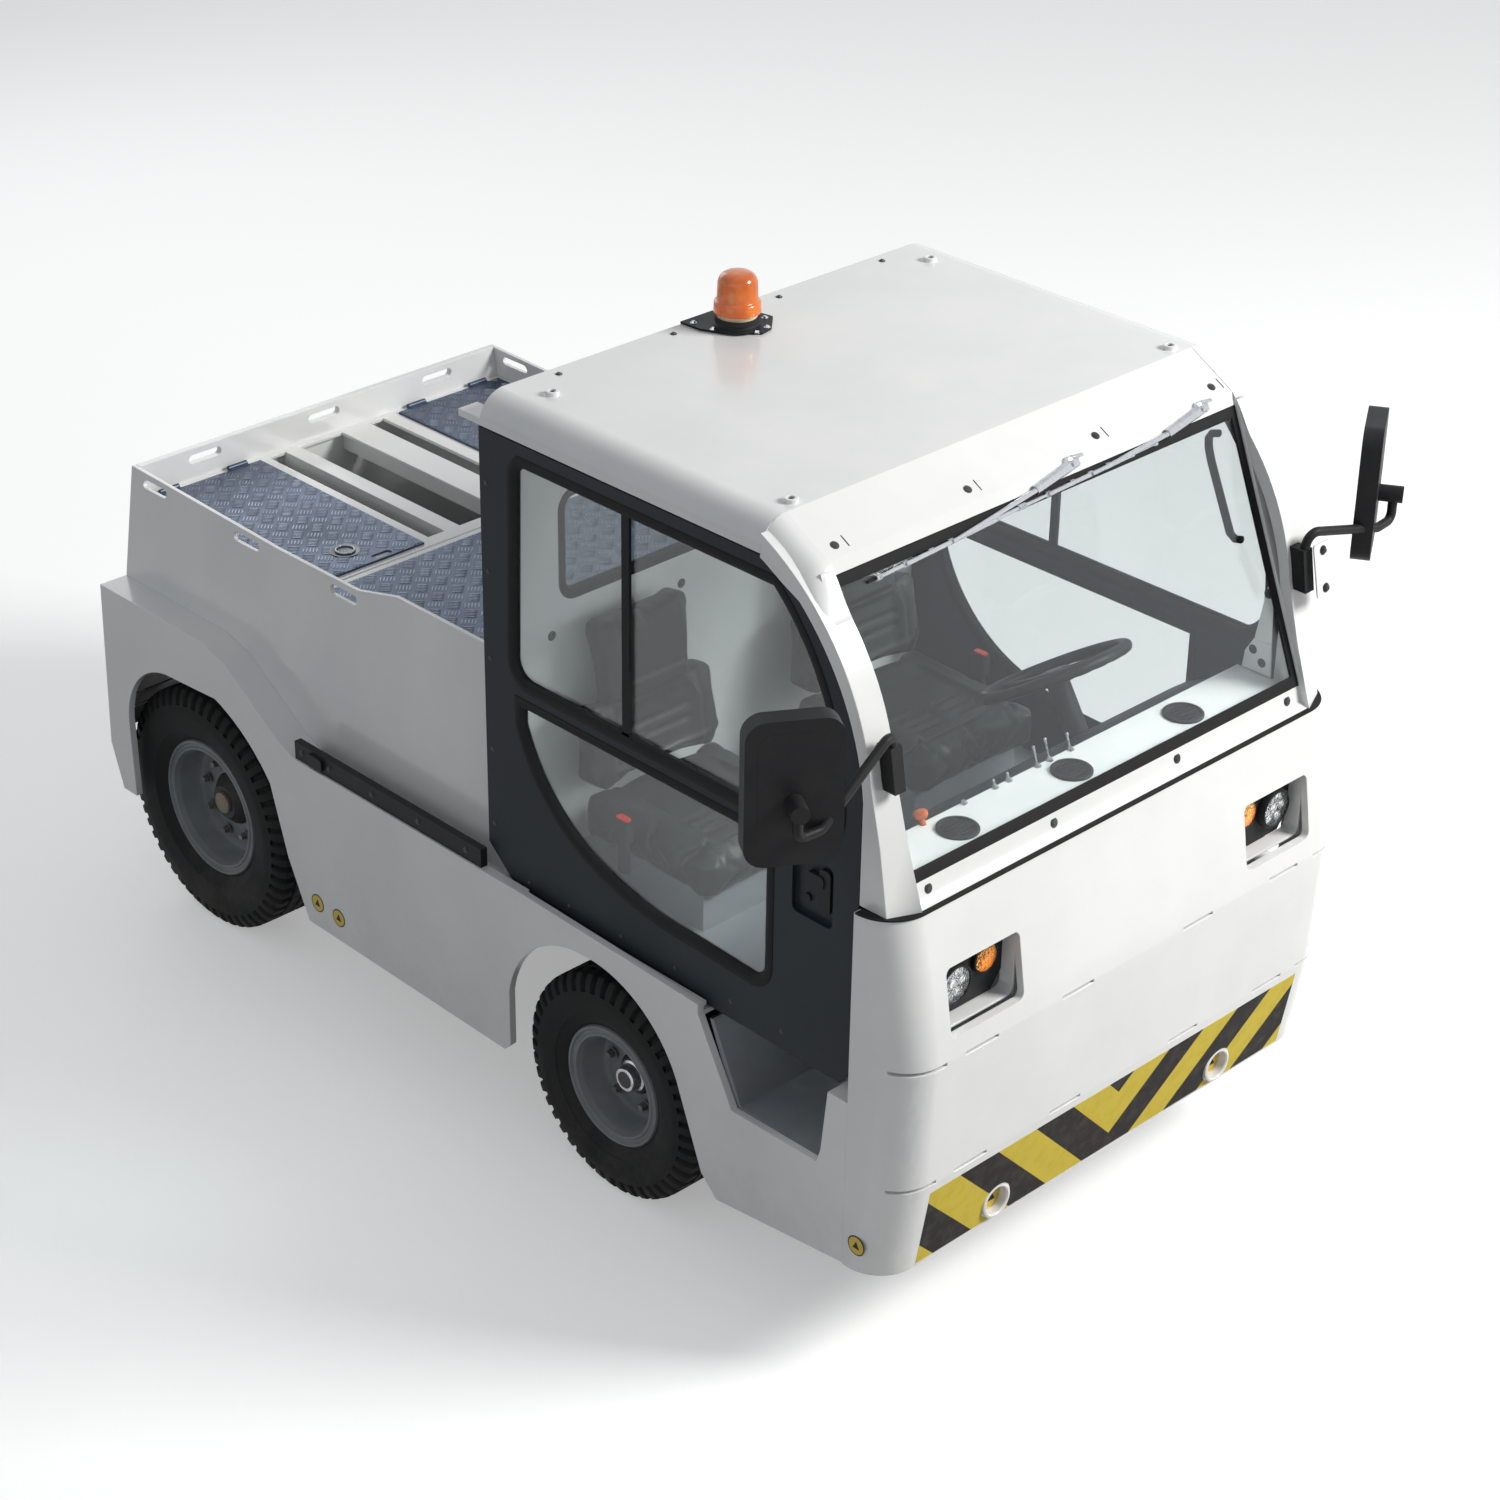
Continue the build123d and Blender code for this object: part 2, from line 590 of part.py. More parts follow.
# ---------------------------------------------------------------- rear deck
deck_half = wall_at(deck_z) - sheet
hatch_in_x = 240.0
crossbar_w = 25.0           # flat top of the bulkhead, in front of the deck's seam
seam_w = 5.0
hatch_front_y = partition_y + 48.0
hatch_rear_y = rear_y - 45.0
gap_front_y = partition_y + 75.0    # long gaps between the deck's bars
gap_rear_y = rear_y - 37.0
hatch_out_x = wall_top_x - sheet - gap
deck_t = 10.0
deck_bar_h = 50.0
with BuildPart() as deck_frame:
    deck_mid_y = (partition_y + rear_y - plate) / 2
    with BuildSketch(Plane.XY.offset(deck_z - deck_t)):
        with Locations((0, deck_mid_y)):
            Rectangle(2 * deck_half, rear_y - plate - partition_y)
        # three long gaps between the bars
        for x0, x1 in ((-205, -150), (-100, 45), (140, 190)):
            with Locations(((x0 + x1) / 2, (gap_front_y + gap_rear_y) / 2)):
                Rectangle(x1 - x0, gap_rear_y - gap_front_y, mode=Mode.SUBTRACT)
        # openings under the hatches
        for side in (-1, 1):
            with Locations((side * (hatch_in_x + hatch_out_x) / 2, (hatch_front_y + hatch_rear_y) / 2)):
                Rectangle(
                    hatch_out_x - hatch_in_x - 60, hatch_rear_y - hatch_front_y - 86,
                    mode=Mode.SUBTRACT,
                )
    extrude(amount=deck_t)
    # deep bars either side of the middle gap
    for x0, x1 in ((-150, -100), (60, 140)):
        with Locations(((x0 + x1) / 2, deck_mid_y, deck_z - deck_t - deck_bar_h / 2)):
            Box(x1 - x0, rear_y - plate - partition_y, deck_bar_h)
    with Locations((0, partition_y + crossbar_w + seam_w / 2, deck_z)):
        Box(2 * deck_half, seam_w, deck_t, mode=Mode.SUBTRACT)
    # bulkhead behind the cover
    with BuildSketch(Plane.XZ.offset(-partition_y - sheet)):
        between_walls(frame_top_z, deck_z)
    extrude(amount=sheet)
save(deck_frame.part, "deck_frame")

# Chequer hatches over the two side lockers, hinged at their rear edge.
hatch_hinge_y = hatch_rear_y + 9
with BuildPart() as deck_hatch:
    with BuildSketch(Plane.XY.offset(deck_z)):
        hatch_mid = (-(hatch_in_x + hatch_out_x) / 2, (hatch_front_y + hatch_rear_y) / 2)
        with Locations(hatch_mid):
            Rectangle(hatch_out_x - hatch_in_x, hatch_rear_y - hatch_front_y)
        with Locations((-hatch_in_x - 124, hatch_front_y + 19)):
            SlotOverall(60, 22, mode=Mode.SUBTRACT)
    extrude(amount=tread_t)
    for x in (-hatch_in_x - 70, -hatch_out_x + 70):
        with BuildSketch(Plane.YZ.offset(x - 30)):
            with Locations((hatch_hinge_y, deck_z + 8)):
                Circle(7)
            with Locations((hatch_hinge_y - 8, deck_z + 5)):
                Rectangle(14, 6)
        extrude(amount=60)
save_sides(deck_hatch.part, "deck_hatch")

# Chequer cover over the battery bay, hinged behind the cab.
cover_front_y = cab_back_y + 14
cover_hinge_y = cover_front_y
cover_half = wall_at(wall_front_z) - sheet - gap
with BuildPart() as bay_cover:
    with BuildSketch(Plane.XY.offset(deck_z)):
        with Locations((0, (cover_front_y + partition_y - 3) / 2)):
            Rectangle(2 * cover_half, partition_y - 3 - cover_front_y)
    extrude(amount=tread_t)
    for x in (-420, 0, 420):
        with BuildSketch(Plane.YZ.offset(x - 40)):
            with Locations((cover_hinge_y, cover_z + 2)):
                Circle(7)
        extrude(amount=80)
save(bay_cover.part, "bay_cover")

# ---------------------------------------------------------------- cab floor
floor_half = half_width - plate - 2
seat_box_h = 110.0
with BuildPart() as cab_floor:
    with BuildSketch(Plane.YZ.offset(-(wall_x - sheet + 8))):
        outline(
            (frame_front_y, footwell_z), (footwell_foot_y, footwell_z),
            (footwell_top_y, platform_z), (cab_back_y - cab_wall, platform_z),
            (cab_back_y - cab_wall, frame_top_z), (footwell_top_y + 14, frame_top_z),
            (footwell_foot_y + 14, footwell_z - floor_t - 3),
            (frame_front_y, footwell_z - floor_t - 3),
        )
    extrude(amount=2 * (wall_x - sheet + 8))
    with BuildSketch(Plane.YZ.offset(-floor_half)):
        outline(
            (frame_front_y, footwell_z), (footwell_foot_y, footwell_z),
            (footwell_foot_y + 91, sill_z - sheet - 1), (footwell_foot_y + 104, sill_z - sheet - 1),
            (footwell_foot_y + 14, footwell_z - floor_t - 3),
            (frame_front_y, footwell_z - floor_t - 3),
        )
    extrude(amount=2 * floor_half)
    # boxes under the two seats
    for side in (-1, 1):
        with Locations((side * seat_x, -470, platform_z + seat_box_h / 2)):
            Box(360, 380, seat_box_h)
save(cab_floor.part, "cab_floor")

# ---------------------------------------------------------------- seats
cushion_t = 110.0
cushion_low_z = platform_z + seat_box_h
with BuildPart() as seat_cushions:
    for side in (-1, 1):
        with BuildSketch(Plane.XY.offset(cushion_low_z)):
            with Locations((side * seat_x, -490)):
                RectangleRounded(460, 470, 60)
        extrude(amount=cushion_t)
save(seat_cushions.part, "seat_cushions")

# Backrest: wide ribbed lower part and a narrower upper part, leaning back a little.
back_lean = 8.0
back_plane = Plane(
    origin=(0, -255, cushion_low_z + cushion_t + seat_gap),
    x_dir=(1, 0, 0),
    z_dir=(0, -math.cos(math.radians(back_lean)), math.sin(math.radians(back_lean))),
)
with BuildPart() as seat_backs:
    for side in (-1, 1):
        with BuildSketch(back_plane):
            with Locations((side * seat_x, 100)):
                RectangleRounded(440, 200, 60)
            with Locations((side * seat_x, 250)):
                RectangleRounded(300, 330, 30)
        extrude(amount=75)
save(seat_backs.part, "seat_backs")

# ---------------------------------------------------------------- cab rear wall
window_x = half_width - 244.0
window_low_z, window_high_z = 1390.0, 1652.0
cab_half = wall_x + 14
lip_z = gutter_z + gutter_lip - seat_gap
under_z = roof_z - roof_t - seat_gap
with BuildPart() as cab_rear_wall:
    with BuildSketch(Plane.XZ.offset(-cab_back_y)):
        outline(
            (-cab_half, sill_z + 4), (cab_half, sill_z + 4), (cab_half, gutter_z),
            (gutter_in_x, gutter_z), (gutter_in_x, lip_z), (roof_under_x, under_z),
            (-roof_under_x, under_z), (-gutter_in_x, lip_z), (-gutter_in_x, gutter_z),
            (-cab_half, gutter_z),
        )
        with Locations((0, (window_low_z + window_high_z) / 2)):
            RectangleRounded(2 * window_x, window_high_z - window_low_z, 40, mode=Mode.SUBTRACT)
    extrude(amount=cab_wall)
save(cab_rear_wall.part, "cab_rear_wall")

with BuildPart() as rear_window:
    with BuildSketch(Plane.XZ.offset(-cab_back_y + 9)):
        with Locations((0, (window_low_z + window_high_z) / 2)):
            RectangleRounded(2 * window_x - 0.4, window_high_z - window_low_z - 0.4, 40)
    extrude(amount=6)
save(rear_window.part, "rear_window")

# ---------------------------------------------------------------- roof
# Pressed roof with rolled sides that end in a thick gutter over each door.
# Columns of the sections: Y, height of the flat top.
roof_sections = ((cab_back_y, roof_z), (roof_fold_y, roof_z - roof_drop))
roof_side_h = 55.0          # height of the rolled side
boss_x = half_width - 143.0
boss_bore_r = 8.0
rear_boss_y = -242.0
front_boss_y = roof_fold_y + 30.0
with BuildPart() as cab_roof:
    for y, top in roof_sections:
        with BuildSketch(Plane.XZ.offset(-y)):
            with BuildLine():
                for side in (-1, 1):
                    ThreePointArc(
                        (side * roof_flat_x, top), (side * (gutter_x - 23), top - 18),
                        (side * gutter_x, top - roof_side_h),
                    )
                    Polyline(
                        (side * gutter_x, top - roof_side_h), (side * gutter_x, gutter_z),
                        (side * gutter_in_x, gutter_z), (side * gutter_in_x, gutter_z + gutter_lip),
                        (side * roof_under_x, top - roof_t),
                    )
                Line((-roof_flat_x, top), (roof_flat_x, top))
                Line((-roof_under_x, top - roof_t), (roof_under_x, top - roof_t))
            make_face()
    loft(ruled=True)
    # gutter ends reaching behind the cab
    for side in (-1, 1):
        with Locations((side * (gutter_x + gutter_in_x) / 2, cab_back_y + 37, gutter_z + 9)):
            Box(gutter_x - gutter_in_x, 75, 18)
    # lifting bosses with a threaded hole
    for y, low in ((rear_boss_y, roof_z - 4), (front_boss_y, roof_z - roof_drop - 4)):
        with BuildSketch(Plane.XY.offset(low)):
            with Locations((-boss_x, y), (boss_x, y)):
                Circle(16)
        extrude(amount=14)
        with BuildSketch(Plane.XY.offset(low - 24)):
            with Locations((-boss_x, y), (boss_x, y)):
                Circle(boss_bore_r)
        extrude(amount=60, mode=Mode.SUBTRACT)
save(cab_roof.part, "cab_roof")

# ---------------------------------------------------------------- cab front frame
# Curved corner posts, the sloping panel over the windscreen, the sill under it and the
# surround in which the glass sits.
slope = math.atan2(screen_head[0] - screen_foot[0], screen_head[1] - screen_foot[1])
screen_plane = Plane(
    origin=(0, screen_foot[0], screen_foot[1]),
    x_dir=(1, 0, 0),
    z_dir=(0, -math.cos(slope), math.sin(slope)),
)
screen_h = math.hypot(screen_head[0] - screen_foot[0], screen_head[1] - screen_foot[1])
header_back_y = roof_fold_y
lip_out = 8.0               # header's face in front of the glass
shelf_low_z = nose_top_z + 23.0
sill_back_y = nose_y + 155.0
shelf_back_y = sill_back_y + 130.0
post_rear_y = door_front_y - gap - 2.0
post_top = (roof_fold_y, roof_z - 28.0)
post_bulge = (roof_fold_y - 190.0, roof_z - 171.0)
post_bend = (nose_y + 160.0, 1475.0)
roof_front_z = roof_z - roof_drop
header_in = 16.0            # header's face behind the glass


def on_screen(along, out):
    """Y and Z of a point that far up the glass from its foot and that far in front of it."""
    return (
        screen_foot[0] + along * math.sin(slope) - out * math.cos(slope),
        screen_foot[1] + along * math.cos(slope) + out * math.sin(slope),
    )


with BuildPart() as cab_front_frame:
    for side in (-1, 1):
        with BuildSketch(Plane.YZ.offset(side * post_in_x)):
            with BuildLine():
                Line((roof_fold_y, gutter_z), post_top)
                ThreePointArc(post_top, post_bulge, post_bend)
                Polyline(
                    post_bend, (nose_y + 121, 1335), (nose_y + 69, nose_top_z),
                    (post_rear_y, nose_top_z), (post_rear_y, door_bend_z),
                )
                ThreePointArc(
                    (post_rear_y, door_bend_z), (door_bend_y - 187, gutter_z - 180),
                    (door_bend_y, gutter_z),
                )
                Line((door_bend_y, gutter_z), (roof_fold_y, gutter_z))
            make_face()
        extrude(amount=side * (gutter_x - post_in_x))
    # sloping panel over the windscreen
    with BuildSketch(Plane.YZ.offset(-post_in_x)):
        outline(
            (header_back_y, roof_front_z), on_screen(screen_h + 30, lip_out),
            on_screen(screen_h, lip_out), on_screen(screen_h, -header_in),
            on_screen(screen_h + 24, -header_in), (header_back_y, roof_front_z - roof_t),
        )
    extrude(amount=2 * post_in_x)
    # sill under the windscreen
    with BuildSketch(Plane.YZ.offset(-post_in_x)):
        outline(
            (nose_y + 68, nose_top_z), (nose_y + 95, nose_top_z + 12),
            (nose_y + 105, nose_top_z + 48), (nose_y + 133, nose_top_z + 58),
            (nose_y + 165, shelf_low_z + sheet), (shelf_back_y, shelf_low_z + sheet),
            (shelf_back_y, shelf_low_z),
            (sill_back_y, shelf_low_z), (sill_back_y, nose_top_z),
        )
    extrude(amount=2 * post_in_x)
    # side bars of the surround, between post and glass
    for side in (-1, 1):
        with BuildSketch(screen_plane):
            with Locations((side * (screen_x + 18), screen_h / 2)):
                Rectangle(36, screen_h + 30)
        extrude(amount=16, both=True)
save(cab_front_frame.part, "cab_front_frame")

with BuildPart() as windscreen:
    with BuildSketch(screen_plane):
        with Locations((0, screen_h / 2)):
            Rectangle(2 * screen_x - 1, screen_h - 22)
    extrude(amount=glass_t / 2, both=True)
save(windscreen.part, "windscreen")

# Wiper arms parked along the head of the windscreen.
# Columns: pivot X, end X, end's drop below the pivot.
wiper_t = 8.0
wiper_lift = 8.0            # arm's height over the header's face
wiper_base = screen_plane.offset(lip_out + wiper_lift)
with BuildPart() as wipers:
    for pivot_x, tip_x, drop in ((86.0, -560.0, 62.0), (526.0, -60.0, 62.0)):
        pivot_y = screen_h + 14
        arm_turn = math.degrees(math.atan2(drop, pivot_x - tip_x))
        arm_mid = Location(((pivot_x + tip_x) / 2, pivot_y - drop / 2), arm_turn)
        with BuildSketch(wiper_base):
            with Locations(arm_mid):
                Rectangle(math.hypot(pivot_x - tip_x, drop), 14)
            with Locations((pivot_x, pivot_y)):
                Circle(16)
        extrude(amount=wiper_t)
        with BuildSketch(wiper_base):
            with Locations((pivot_x, pivot_y)):
                Circle(10)
        extrude(amount=-wiper_lift)
save(wipers.part, "wipers")

# ---------------------------------------------------------------- dashboard
dash_top_z = shelf_low_z - seat_gap
dash_half = wall_x - 66.0
column_r = 28.0
column_len = 250.0
tilt = math.radians(wheel_tilt)
column_axis = (0.0, math.sin(tilt), math.cos(tilt))
wheel_plane = Plane(origin=wheel_hub, x_dir=(1, 0, 0), z_dir=column_axis)
with BuildPart() as dashboard:
    with BuildSketch(Plane.YZ.offset(-dash_half)):
        outline(
            (shelf_back_y - 2, dash_top_z), (shelf_back_y + 100, dash_top_z - 53),
            (shelf_back_y + 150, dash_top_z - 93), (shelf_back_y + 135, dash_top_z - 193),
            (shelf_back_y - 10, dash_top_z - 283), (sill_back_y - 40, dash_top_z - 303),
            (sill_back_y - 50, nose_top_z - seat_gap),
            (sill_back_y + seat_gap, nose_top_z - seat_gap),
            (sill_back_y + seat_gap, dash_top_z),
        )
    extrude(amount=2 * dash_half)
    with BuildSketch(wheel_plane.offset(-22)):
        Circle(column_r)
    extrude(amount=-column_len)
save(dashboard.part, "dashboard")

rim_big_r = 178.0
rim_tube_r = 14.0
with BuildPart() as steering_wheel:
    with BuildSketch(Plane(origin=wheel_hub, x_dir=(1, 0, 0), z_dir=(0, math.cos(tilt), -math.sin(tilt)))):
        with Locations((rim_big_r, 0)):
            Circle(rim_tube_r)
    revolve(axis=Axis(wheel_hub, column_axis))
    with BuildSketch(wheel_plane.offset(-21.7)):
        Circle(36)
    extrude(amount=26)
    for angle in (90, 210, 330):
        with BuildSketch(wheel_plane.offset(-8)):
            with Locations(Location((0, 0), angle)):
                with Locations((rim_big_r / 2, 0)):
                    Rectangle(rim_big_r, 26)
        extrude(amount=8)
save(steering_wheel.part, "steering_wheel")

# ---------------------------------------------------------------- sliding doors
# One flat leaf each side, as thick as the whole door, with two windows.
door_top_z = gutter_z - 8.0
mid_rail_h = 42.0
upper_pane_z = door_top_z - 42.0
lower_pane_z = door_bottom_z + 141.0


def door_edge():
    """Outline of the leaf: raked front edge, cut-back lower rear corner."""
    with BuildSketch() as leaf:
        with BuildLine():
            Polyline(
                (door_rear_y, door_top_z), (door_rear_y, door_bottom_z + 97),
                (door_rear_y - 112, door_bottom_z), (door_front_y + 39, door_bottom_z),
                (door_front_y + 14, door_bottom_z + 34), (door_front_y, door_bend_z - 276),
                (door_front_y, door_bend_z),
            )
            ThreePointArc(
                (door_front_y, door_bend_z), (door_bend_y - 181, door_top_z - 178),
                (door_bend_y, door_top_z),
            )
            Line((door_bend_y, door_top_z), (door_rear_y, door_top_z))
        make_face()
    return leaf.sketch


def upper_window(inset):
    """Upper pane's outline: square at the rear, swept at the front."""
    low, high = mid_rail_z + mid_rail_h + inset, upper_pane_z - inset
    rear, front = door_rear_y - 93.0 - inset, door_front_y + 55.0 + inset
    with BuildSketch() as leaf:
        with BuildLine():
            Line((rear - 40, high), (rear - 14, high - 26))
            Line((rear - 14, high - 26), (rear, low + 60))
            ThreePointArc((rear, low + 60), (rear - 18, low + 18), (rear - 60, low))
            Line((rear - 60, low), (front + 80, low))
            ThreePointArc((front + 80, low), (front + 28, low + 26), (front + 2, low + 90))
            ThreePointArc(
                (front + 2, low + 90), (front + 50, upper_pane_z - 220),
                (door_bend_y - 12 + inset, high),
            )
            Line((door_bend_y - 12 + inset, high), (rear - 40, high))
        make_face()
    return leaf.sketch


def lower_window(inset):
    """Lower pane's outline: upright in front, curving up to a point at the rear."""
    low, high = lower_pane_z + inset, mid_rail_z - inset
    rear, front = door_rear_y - 117.0 - inset, door_front_y + 261.0 + inset
    with BuildSketch() as leaf:
        with BuildLine():
            Line((rear, high), (rear + 2, high - 60))
            ThreePointArc((rear + 2, high - 60), (rear - 98, low + 156), (rear - 268, low + 49))
            ThreePointArc((rear - 268, low + 49), (rear - 408, low + 12), (rear - 568, low))
            Line((rear - 568, low), (front + 60, low - 8))
            ThreePointArc((front + 60, low - 8), (front + 18, low + 6), (front, low + 50))
            Line((front, low + 50), (front, high))
            Line((front, high), (rear, high))
        make_face()
    return leaf.sketch


shoe_drop = door_bottom_z - sill_z - seat_gap
with BuildPart() as door:
    with BuildSketch(Plane.YZ.offset(-door_x)):
        add(door_edge())
    extrude(amount=door_t)
    with BuildSketch(Plane.YZ.offset(-door_x)):
        add(upper_window(0))
    extrude(amount=door_t, mode=Mode.SUBTRACT)
    with BuildSketch(Plane.YZ.offset(-door_x)):
        add(lower_window(0))
    extrude(amount=door_t, mode=Mode.SUBTRACT)
    # recess of the pull handle
    with BuildSketch(Plane.YZ.offset(-door_x)):
        with Locations((door_front_y + 135, mid_rail_z - 76)):
            RectangleRounded(120, 150, 16)
    extrude(amount=14, mode=Mode.SUBTRACT)
    # runner shoes on the slot's floor
    for y in (door_rear_y - 185, door_rear_y - 685):
        with Locations((-door_x + door_t / 2, y, door_bottom_z - shoe_drop / 2)):
            Box(door_t, 60, shoe_drop)
save_sides(door.part, "door")

with BuildPart() as door_glass:
    with BuildSketch(Plane.YZ.offset(-door_x + 10)):
        add(upper_window(0.2))
        add(lower_window(0.2))
    extrude(amount=6)
save_sides(door_glass.part, "door_glass")

with BuildPart() as door_rails:
    for side in (-1, 1):
        rail_y = (ledge_end_y - 4 + door_rear_y - 1) / 2
        with Locations((side * (slot_out_x + 12), rail_y, ledge_z + 25)):
            Box(20, ledge_end_y - 4 - door_rear_y + 1, 50)
save(door_rails.part, "door_rails")

# ---------------------------------------------------------------- mirrors
# Tapered brackets on the corner posts carry bent tubes, each with a clamp on the back of
# its mirror housing. Columns: side, height of the mirror's middle.
mirror_t = 46.0
arm_r = 11.0
bracket_x = gutter_x - 48.0
with BuildPart() as mirrors:
    for side, mid_z in ((-1, 1550.0), (1, 1628.0)):
        turn = math.radians(mirror_turn)
        facing = Vector(-side * math.sin(turn), math.cos(turn), 0)
        middle = Vector(side * mirror_x, mirror_y, mid_z)
        face_plane = Plane(origin=middle, x_dir=(facing.Y, -facing.X, 0), z_dir=facing)
        with BuildSketch(face_plane):
            RectangleRounded(205, 330, 45)
        extrude(amount=-mirror_t)
        clamp = middle - facing * (mirror_t + 34) - Vector(0, 0, 20)
        with BuildLine() as arm:
            FilletPolyline(
                (side * bracket_x, -1352, 1530), (side * (bracket_x + 6), -1366, 1598),
                (clamp.X - side * 60, clamp.Y - 6, mid_z - 85), (clamp.X, clamp.Y, mid_z - 85),
                clamp, radius=(24, 30, 20),
            )
        with BuildSketch(Plane(origin=arm.line @ 0, z_dir=arm.line % 0)):
            Circle(arm_r)
        sweep(path=arm.line)
        with BuildSketch(Plane(origin=clamp - facing * 22, x_dir=(0, 0, 1), z_dir=facing)):
            Circle(20)
        extrude(amount=57)
        with BuildSketch(Plane.YZ.offset(side * bracket_x - 16)):
            outline((-1337, 1455), (-1385, 1455), (-1368, 1556), (-1304, 1556))
        extrude(amount=32)
    add(cab_front_frame.part, mode=Mode.SUBTRACT)
save(mirrors.part, "mirrors")

# ---------------------------------------------------------------- warning beacon
beacon_x, beacon_y = -36.0, -236.0
with BuildPart() as beacon_base:
    with BuildSketch(Plane.XY.offset(roof_z)):
        outline(
            (-115, cab_back_y + 2), (-112, -190), (-92, -238), (-24, -306), (14, -298),
            (66, -250), (52, -170), (24, cab_back_y + 2),
        )
    extrude(amount=5)
    with BuildSketch(Plane.XY.offset(roof_z + 5)):
        with Locations((beacon_x, beacon_y)):
            Circle(55)
    extrude(amount=27)
save(beacon_base.part, "beacon_base")

lens_z = roof_z + 32
with BuildPart() as beacon_lens:
    with BuildSketch(Plane(origin=(beacon_x, beacon_y, lens_z), x_dir=(1, 0, 0), z_dir=(0, -1, 0))):
        outline((0, 0), (56, 0), (55, 32), (48, 36), (47, 86), (38, 102), (0, 105))
    revolve(axis=Axis((beacon_x, beacon_y, 0), (0, 0, 1)))
save(beacon_lens.part, "beacon_lens")
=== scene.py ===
import json
import math

import bmesh
import bpy
from mathutils import Matrix, Vector


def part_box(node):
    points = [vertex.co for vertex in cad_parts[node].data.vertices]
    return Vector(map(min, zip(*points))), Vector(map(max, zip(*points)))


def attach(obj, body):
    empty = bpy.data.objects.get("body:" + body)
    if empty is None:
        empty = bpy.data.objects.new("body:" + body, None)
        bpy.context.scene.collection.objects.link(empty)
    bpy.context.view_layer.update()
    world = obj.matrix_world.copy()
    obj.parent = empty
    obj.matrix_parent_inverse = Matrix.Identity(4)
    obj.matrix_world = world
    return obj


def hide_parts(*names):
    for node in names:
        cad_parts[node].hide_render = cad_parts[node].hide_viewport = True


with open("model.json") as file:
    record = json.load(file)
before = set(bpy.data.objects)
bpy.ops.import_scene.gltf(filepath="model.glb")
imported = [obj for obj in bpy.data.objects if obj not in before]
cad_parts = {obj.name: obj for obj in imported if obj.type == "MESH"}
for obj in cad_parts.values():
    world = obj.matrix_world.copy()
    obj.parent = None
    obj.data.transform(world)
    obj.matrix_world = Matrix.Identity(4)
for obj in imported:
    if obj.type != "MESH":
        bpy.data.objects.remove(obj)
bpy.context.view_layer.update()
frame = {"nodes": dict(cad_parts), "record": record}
nodes = frame["nodes"]

# ---------------------------------------------------------------- camera
# Three-quarter view from above, over the right front corner.
azimuth, elevation, distance = math.radians(-42.7), math.radians(28.3), 8.3153
target = Vector((0.0, 0.1005, 0.85))
back = Vector((
    math.sin(azimuth) * math.cos(elevation),
    -math.cos(azimuth) * math.cos(elevation),
    math.sin(elevation),
))
lens = bpy.data.cameras.new("camera")
lens.lens, lens.sensor_width = 78.7, 36.0
lens.shift_x, lens.shift_y = 0.067, -0.0373
lens.clip_end = 100.0
camera = bpy.data.objects.new("camera", lens)
camera.location = target + back * distance
camera.rotation_euler = (math.pi / 2 - elevation, 0.0, azimuth)
bpy.context.scene.collection.objects.link(camera)
bpy.context.scene.camera = camera
bpy.context.scene.view_settings.view_transform = "Standard"

# ---------------------------------------------------------------- floor and light
# A wide white floor under an even white sky, a large soft key light high over the nose
# and weaker fills from the right and from behind.
def feed(tree, goal, value):
    """Set an input socket to a plain value, or join it to the socket given."""
    if hasattr(value, "is_linked"):
        tree.links.new(value, goal)
    else:
        goal.default_value = value


def add_node(tree, kind, inputs=(), **settings):
    """A new node with its own settings and its inputs' values or sources."""
    node = tree.nodes.new(kind)
    for label, value in settings.items():
        setattr(node, label, value)
    for label, value in dict(inputs).items():
        feed(tree, node.inputs[label], value)
    return node


def wire(tree, *pairs):
    """Join each output socket to its input socket."""
    for source, goal in pairs:
        tree.links.new(source, goal)


def maths(tree, operation, *values):
    """Result of a maths node on sockets or plain values."""
    return add_node(tree, "ShaderNodeMath", enumerate(values), operation=operation).outputs[0]


def ramp(tree, source, low, high, to_low=0.0, to_high=1.0):
    """Clamped linear map of a value."""
    return add_node(tree, "ShaderNodeMapRange", {
        "From Min": low, "From Max": high, "To Min": to_low, "To Max": to_high, "Value": source,
    }).outputs["Result"]


def seen_plainly(tree):
    """Mask of the rays that show the plain background: camera, transmission and glossy."""
    path = tree.nodes.new("ShaderNodeLightPath")
    seen = maths(
        tree, "MAXIMUM", path.outputs["Is Camera Ray"], path.outputs["Is Transmission Ray"]
    )
    return maths(tree, "MAXIMUM", seen, path.outputs["Is Glossy Ray"])


def blank_look(name, values):
    """A new material with plain values in its shader: the look, its tree and its shader."""
    look = bpy.data.materials.new(name)
    look.use_nodes = True
    shader = look.node_tree.nodes["Principled BSDF"]
    for label, value in values.items():
        shader.inputs[label].default_value = value
    return look, look.node_tree, shader


world = bpy.data.worlds.new("studio")
bpy.context.scene.world = world
world.use_nodes = True
sky = world.node_tree.nodes["Background"]
sky.inputs["Color"].default_value = (0.94, 0.97, 1.0, 1.0)
sky_light = 0.32
feed(
    world.node_tree, sky.inputs["Strength"],
    ramp(world.node_tree, seen_plainly(world.node_tree), 0.0, 1.0, sky_light, 1.0),
)


def soft_light(name, place, size, power, colour=(1.0, 1.0, 1.0)):
    """A square area lamp that looks at the middle of the vehicle."""
    lamp = bpy.data.lights.new(name, "AREA")
    lamp.size, lamp.energy, lamp.color = size, power, colour
    holder = bpy.data.objects.new(name, lamp)
    holder.location = place
    aim = Vector((0.0, 0.0, 0.9)) - Vector(place)
    holder.rotation_euler = aim.to_track_quat("-Z", "Y").to_euler()
    bpy.context.scene.collection.objects.link(holder)


